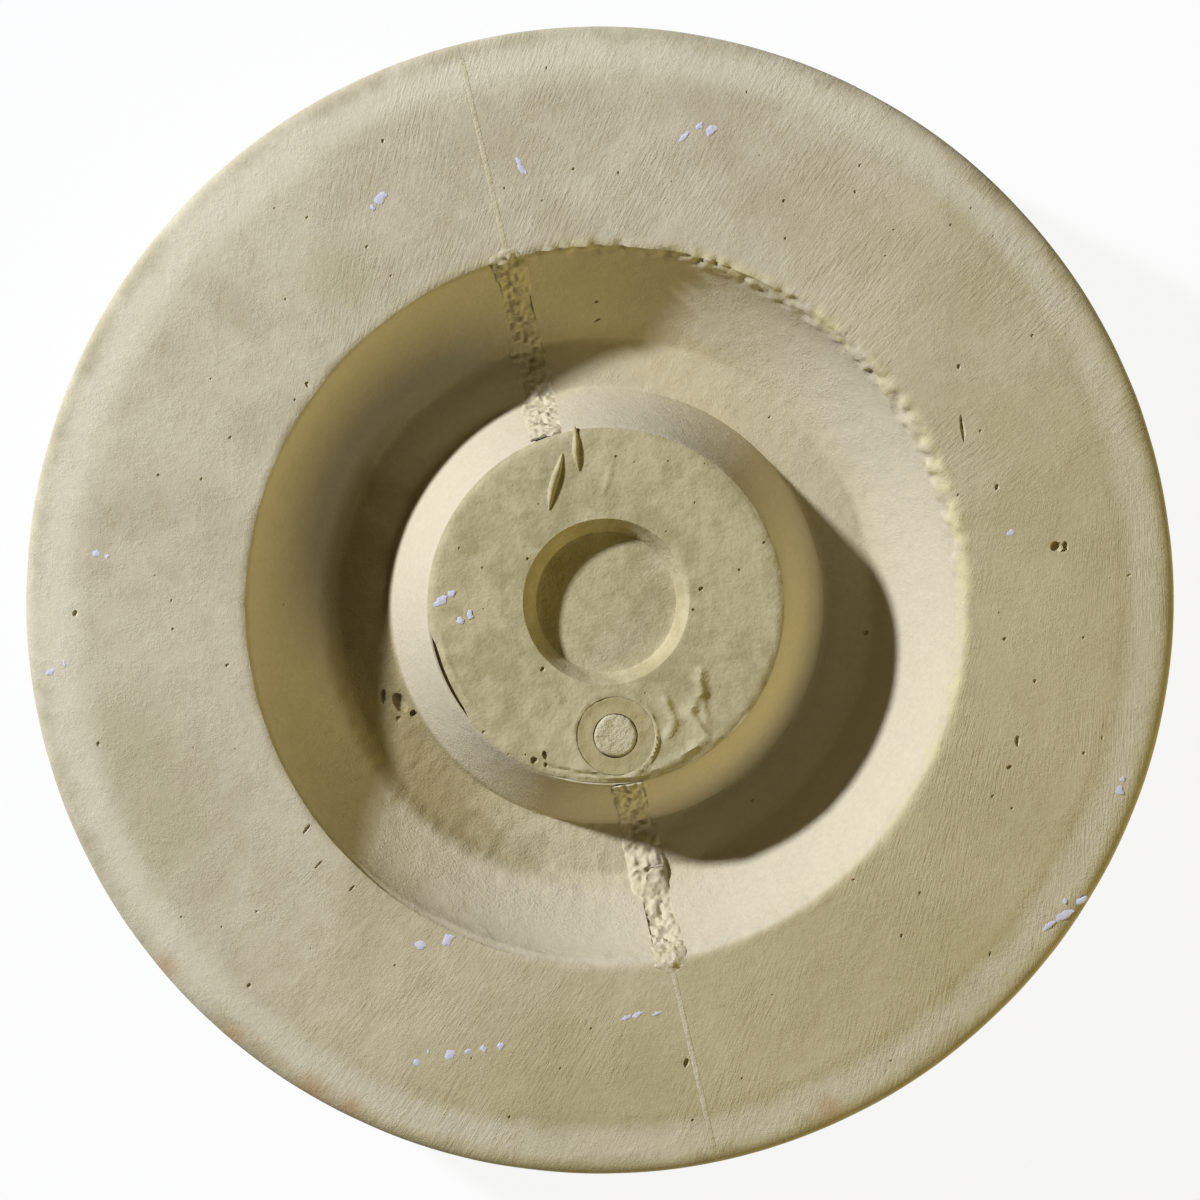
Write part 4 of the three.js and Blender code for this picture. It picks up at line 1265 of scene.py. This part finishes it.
corePlug = makePlug()
for number, fin in enumerate(plugFins):
    cutWith(corePlug, finBody(f"fin{number}", *fin), "UNION")
keyHole = turnedBody("keyHole", [(0, keySeat - 0.1), (keyRadius + 0.06, keySeat - 0.1),
                                 (keyRadius + 0.06, plugTop + 5), (0, plugTop + 5)],
                     (keyX, keyY, 0), (0, 0, 1), 96)
cutWith(corePlug, keyHole)
holder = voidPoints("plugVoids", plugVoids, plugTop - 0.1)
cutVoids(corePlug, holder, plugMaterial, 2500, 0.2, 0.4, plugTop - 0.6, 14)
placePiece(corePlug, "core_plug", "core_plug")
print("core plug made", len(corePlug.data.polygons))


keyLook = {"segments": 120, "sunk": 0.15, "waver": 0.25}


def roughDisc(name, inner, outer, low, high, profileHeight, seed, waver):
    segments = keyLook["segments"]
    radii = list(np.linspace(outer, inner, 14 if inner else 22))
    rows = [(outer, low)] + [(radius, None) for radius in radii]
    rows += [(inner, low)] if inner else []
    points = []
    for radius, height in rows:
        for k in range(segments):
            angle = 2 * math.pi * k / segments
            spot = np.array([[math.cos(angle) * 9, math.sin(angle) * 9, seed]])
            shake = waver * float(cellNoise(spot, 2.5, seed)[0]) * (radius > 0.8 * outer)
            x, y = (radius + shake) * math.cos(angle), (radius + shake) * math.sin(angle)
            if height is None:
                share = (outer - radius) / max(outer - inner, 1e-6)
                where = np.array([[x, y, 0.0]])
                z = high + profileHeight(share) + 0.16 * float(cellNoise(where, 1.9, seed + 1)[0])
            else:
                z = height
            points.append((keyX + x, keyY + y, min(z, coreTop + 0.15)))
    count = len(rows)
    if inner:
        faces = [list(face) for face in quadRing(count, segments, True, True)]
        return meshObject(name, points, faces)
    # a full disc closes on a middle point above and below
    keep = (count - 1) * segments
    points = points[:keep]
    faces = [list(face) for face in quadRing(count - 1, segments, False, True)]
    points += [(keyX, keyY, points[-1][2]), (keyX, keyY, low)]
    last = (count - 2) * segments
    for k in range(segments):
        after = (k + 1) % segments
        faces.append([last + k, last + after, keep])
        faces.append([after, k, keep + 1])
    return meshObject(name, points, faces)


ring = roughDisc("keyRing", coreRadius + 0.05, keyRadius, keySeat, plugTop - keyLook["sunk"],
                 lambda share: 0.08 * math.cos(2 * math.pi * share), 71, 0.0)
ring.data.materials.append(keyRingMaterial)
placePiece(ring, "core_plug", "key_cup")
core = roughDisc("keyCore", 0, coreRadius - 0.1, keySeat, coreTop - 0.1,
                 lambda share: -0.9 * max(0, 1 - 6 * share) ** 2 - 0.15 * share,
                 83, keyLook["waver"])
core.data.materials.append(keyCoreMaterial)
placePiece(core, "core_plug", "key_core")
print("key made")


natch = {"flange": 8.5, "flangeThick": 2, "stem": 6, "stemLength": 10, "dome": 6, "domeHeight": 6.5,
         "cupLength": 11, "clearance": 0.3, "segments": 56, "ribs": 4, "ribDepth": 0.45}


def domeCurve(radius, height, steps=9):
    turns = [math.pi / 2 * k / steps for k in range(steps + 1)]
    return [(radius * math.cos(turn), height * math.sin(turn)) for turn in turns[:-1]] + [
        (0, height)]


# ribs round a stem, so that it grips the plaster
def ribbed(radius, start, end):
    points = []
    for rib in range(natch["ribs"]):
        low = start + (end - start) * rib / natch["ribs"]
        pitch = (end - start) / natch["ribs"]
        points += [(radius, low + 0.1 * pitch), (radius - natch["ribDepth"], low + 0.3 * pitch),
                   (radius - natch["ribDepth"], low + 0.7 * pitch), (radius, low + 0.9 * pitch)]
    return points


for spot, (y, z) in natchSpots.items():
    back = -natch["flangeThick"] - natch["stemLength"]
    pinProfile = [(0, back), (natch["stem"] - 0.5, back)]
    pinProfile += ribbed(natch["stem"], back + 0.5, -natch["flangeThick"] - 0.3)
    pinProfile += [(natch["stem"], -natch["flangeThick"]),
                   (natch["flange"] - 0.2, -natch["flangeThick"]),
                   (natch["flange"], -natch["flangeThick"] + 0.3),
                   (natch["flange"], -0.25), (natch["flange"] - 0.25, 0)]
    pinProfile += domeCurve(natch["dome"], natch["domeHeight"])
    pin = turnedBody("natchPin_" + spot, pinProfile, (seamX - seamGap / 2, y, z), (1, 0, 0),
                     natch["segments"])
    pin.data.materials.append(natchMaterial)
    placePiece(pin, "left_half", "natch_pin_" + spot)
    bore = domeCurve(natch["dome"] + natch["clearance"], natch["domeHeight"])[::-1]
    cupProfile = bore + [(natch["flange"] - 0.25, 0), (natch["flange"], 0.25)]
    cupProfile += ribbed(natch["flange"], 0.6, natch["cupLength"] - 0.6)
    cupProfile += [(natch["flange"] - 0.3, natch["cupLength"]), (0, natch["cupLength"])]
    cup = turnedBody("natchCup_" + spot, cupProfile, (seamX + seamGap / 2, y, z), (1, 0, 0),
                     natch["segments"])
    cup.data.materials.append(natchMaterial)
    placePiece(cup, "right_half", "natch_cup_" + spot)
print("natches made")


# place, half width, half length, turn in degrees
drops = {
    "left_half": [
        (-36, 129.5, 1.3, 2.2, 60), (-39, 127, 0.7, 1.0, 0), (-141, 47, 1.4, 0.9, 0),
        (-138, 45, 0.7, 0.7, 0), (-161.5, 16, 0.8, 2.2, 80), (-157.5, 17, 0.6, 1.0, 0),
        (-74, -87, 1.5, 1.2, 0), (-66, -87, 1.4, 2.0, 70), (-83, -120, 1.2, 1.0, 0),
        (-73, -120, 1.7, 1.3, 0), (-67.5, -120.3, 1.1, 0.9, 0), (-63, -120.6, 1.0, 0.9, 0),
        (-58, -121, 0.9, 1.2, 0), (-79, -117.5, 0.5, 0.5, 0), (-16.6, -121, 0.7, 1.9, 80),
        (-20, -121, 0.6, 1.4, 80), (-11, -122, 0.6, 1.5, 75),
    ],
    "right_half": [
        (6, 129.6, 0.9, 2.6, -10), (7, 127, 0.5, 0.9, 0), (55, 127, 0.8, 2.0, 60),
        (63, 127, 1.2, 1.9, 65), (60, 129, 0.6, 1.2, 60), (122, -8, 1.3, 0.8, 0),
        (136, -89, 1.1, 1.7, -25), (137.5, -86, 0.7, 0.9, 0), (112, -121, 1.1, 3.2, 78),
        (107, -123, 0.8, 2.2, 70), (118, -118, 0.9, 2.0, 70), (113, -117, 0.5, 0.8, 0),
    ],
    "core_plug": [
        (-45.5, 10.3, 1.3, 2.2, 70), (-42, 11.5, 0.8, 1.2, 60), (-41.4, 3.3, 1.1, 1.2, 0),
        (-38, 4.3, 1.0, 1.3, 20),
    ],
}


# Geometry Nodes: a thin lens at each point, sunk a little way in.
def dropTree():
    tree, given = newTree("glazeDrops", [("Thickness", "Float"), ("Material", "Material")])
    ball = addNode(tree, "GeometryNodeMeshIcoSphere", {"Radius": 1.0, "Subdivisions": 4})
    stored, turned = storedShape(tree)
    parts = addNode(tree, "ShaderNodeSeparateXYZ", stored[0])
    flat = addNode(tree, "ShaderNodeCombineXYZ", parts[0], parts[1], given["Thickness"])
    placed = addNode(tree, "GeometryNodeInstanceOnPoints",
        {"Points": given["Geometry"], "Instance": ball[0], "Scale": flat[0],
            "Rotation": turned[0]})
    real = addNode(tree, "GeometryNodeRealizeInstances", placed[0])
    # a wavy outline, so that a drop looks splashed
    wavy = shaken(tree, real, 700.0, 2.0, (0.0022, 0.0022, 0.0))
    coloured = addNode(tree, "GeometryNodeSetMaterial",
        {"Geometry": wavy[0], "Material": given["Material"]})
    addNode(tree, "NodeGroupOutput", coloured[0])
    return tree


glazeDrops = dropTree()
for body, places in drops.items():
    level = plugTop if body == "core_plug" else None
    piece = voidPoints("glazeDrops_" + body, places, level)
    change = piece.modifiers.new("glazeDrops", "NODES")
    change.node_group = glazeDrops
    setInputs(change, {"Thickness": 0.2 * metre, "Material": dropMaterial})
    applyModifiers(piece)
    finishMesh(piece)
    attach(piece, body)
print("glaze drops made")


studio = {
    "cameraHeight": 1300, "cameraRoll": -13.05, "frameWidth": 352.2, "sensor": 36.0,
    "keyDistance": 2500, "keyElevation": 31.2, "keyAzimuth": 135.5, "keySize": 190, "keyPower": 90,
    "keyColour": (0.943, 0.99, 1.14), "worldStrength": 0.028, "worldColour": (1.0, 0.82, 0.24),
    "fillDistance": 1500, "fillElevation": 21, "fillSize": 700, "fillPower": 8.5,
    "fillColour": (1.0, 0.86, 0.38), "floorSize": 8,
}


def makeFloor():
    bpy.ops.mesh.primitive_plane_add(size=studio["floorSize"])
    floor = bpy.context.active_object
    floor.name = "studioFloor"
    material = bpy.data.materials.new("paleFloor")
    material.use_nodes = True
    tree = material.node_tree
    tree.nodes.clear()
    path = addNode(tree, "ShaderNodeLightPath")
    seen = addNode(tree, "ShaderNodeMath", path["Is Camera Ray"], path["Is Glossy Ray"],
        operation="ADD", use_clamp=True)[0]
    diffuse = addNode(tree, "ShaderNodeBsdfDiffuse", {"Color": (0.8, 0.8, 0.8, 1)})
    glow = addNode(tree, "ShaderNodeEmission", {"Color": (1, 1, 1, 1), "Strength": 1.0})
    bright = addNode(tree, "ShaderNodeMixShader",
        addNode(tree, "ShaderNodeMath", seen, 0.9, operation="MULTIPLY")[0], diffuse[0], glow[0])
    addNode(tree, "ShaderNodeOutputMaterial", {"Surface": bright[0]})
    floor.data.materials.append(material)


def makeWorld():
    world = bpy.data.worlds.new("studioWorld")
    bpy.context.scene.world = world
    world.use_nodes = True
    tree = world.node_tree
    tree.nodes.clear()
    path = addNode(tree, "ShaderNodeLightPath")
    seen = addNode(tree, "ShaderNodeMath", path["Is Camera Ray"], path["Is Glossy Ray"],
        operation="ADD", use_clamp=True)[0]
    soft = addNode(tree, "ShaderNodeBackground",
        {"Color": (*studio["worldColour"], 1), "Strength": studio["worldStrength"]})
    white = addNode(tree, "ShaderNodeBackground", {"Color": (1, 1, 1, 1), "Strength": 1.0})
    either = addNode(tree, "ShaderNodeMixShader", seen, soft[0], white[0])
    addNode(tree, "ShaderNodeOutputWorld", {"Surface": either[0]})


def addLamp(name, azimuth, elevation, distance, size, power, colour):
    lamp = bpy.data.lights.new(name, "AREA")
    lamp.shape = "DISK"
    lamp.size = size * metre
    lamp.energy = power
    lamp.color = colour
    holder = bpy.data.objects.new(name, lamp)
    bpy.context.scene.collection.objects.link(holder)
    around, up = math.radians(azimuth), math.radians(elevation)
    away = np.array([math.cos(around) * math.cos(up), math.sin(around) * math.cos(up),
                     math.sin(up)])
    target = np.array([0, 0, faceHeight * metre])
    holder.location = target + away * distance * metre
    toward = (holder.location - Vector(target)).to_track_quat("Z", "Y")
    holder.rotation_euler = toward.to_euler()


def makeCamera():
    camera = bpy.data.cameras.new("camera")
    holder = bpy.data.objects.new("camera", camera)
    bpy.context.scene.collection.objects.link(holder)
    camera.sensor_width = studio["sensor"]
    camera.lens = studio["sensor"] * studio["cameraHeight"] / studio["frameWidth"]
    holder.location = (0, 0, (faceHeight + studio["cameraHeight"]) * metre)
    holder.rotation_euler = (0, 0, math.radians(studio["cameraRoll"]))
    bpy.context.scene.camera = holder


makeFloor()
makeWorld()
addLamp("keyLamp", studio["keyAzimuth"], studio["keyElevation"], studio["keyDistance"],
        studio["keySize"], studio["keyPower"], studio["keyColour"])
addLamp("fillLamp", studio["keyAzimuth"] + 180, studio["fillElevation"], studio["fillDistance"],
        studio["fillSize"], studio["fillPower"], studio["fillColour"])
makeCamera()
bpy.context.scene.view_settings.view_transform = "Standard"

print("scene ready")
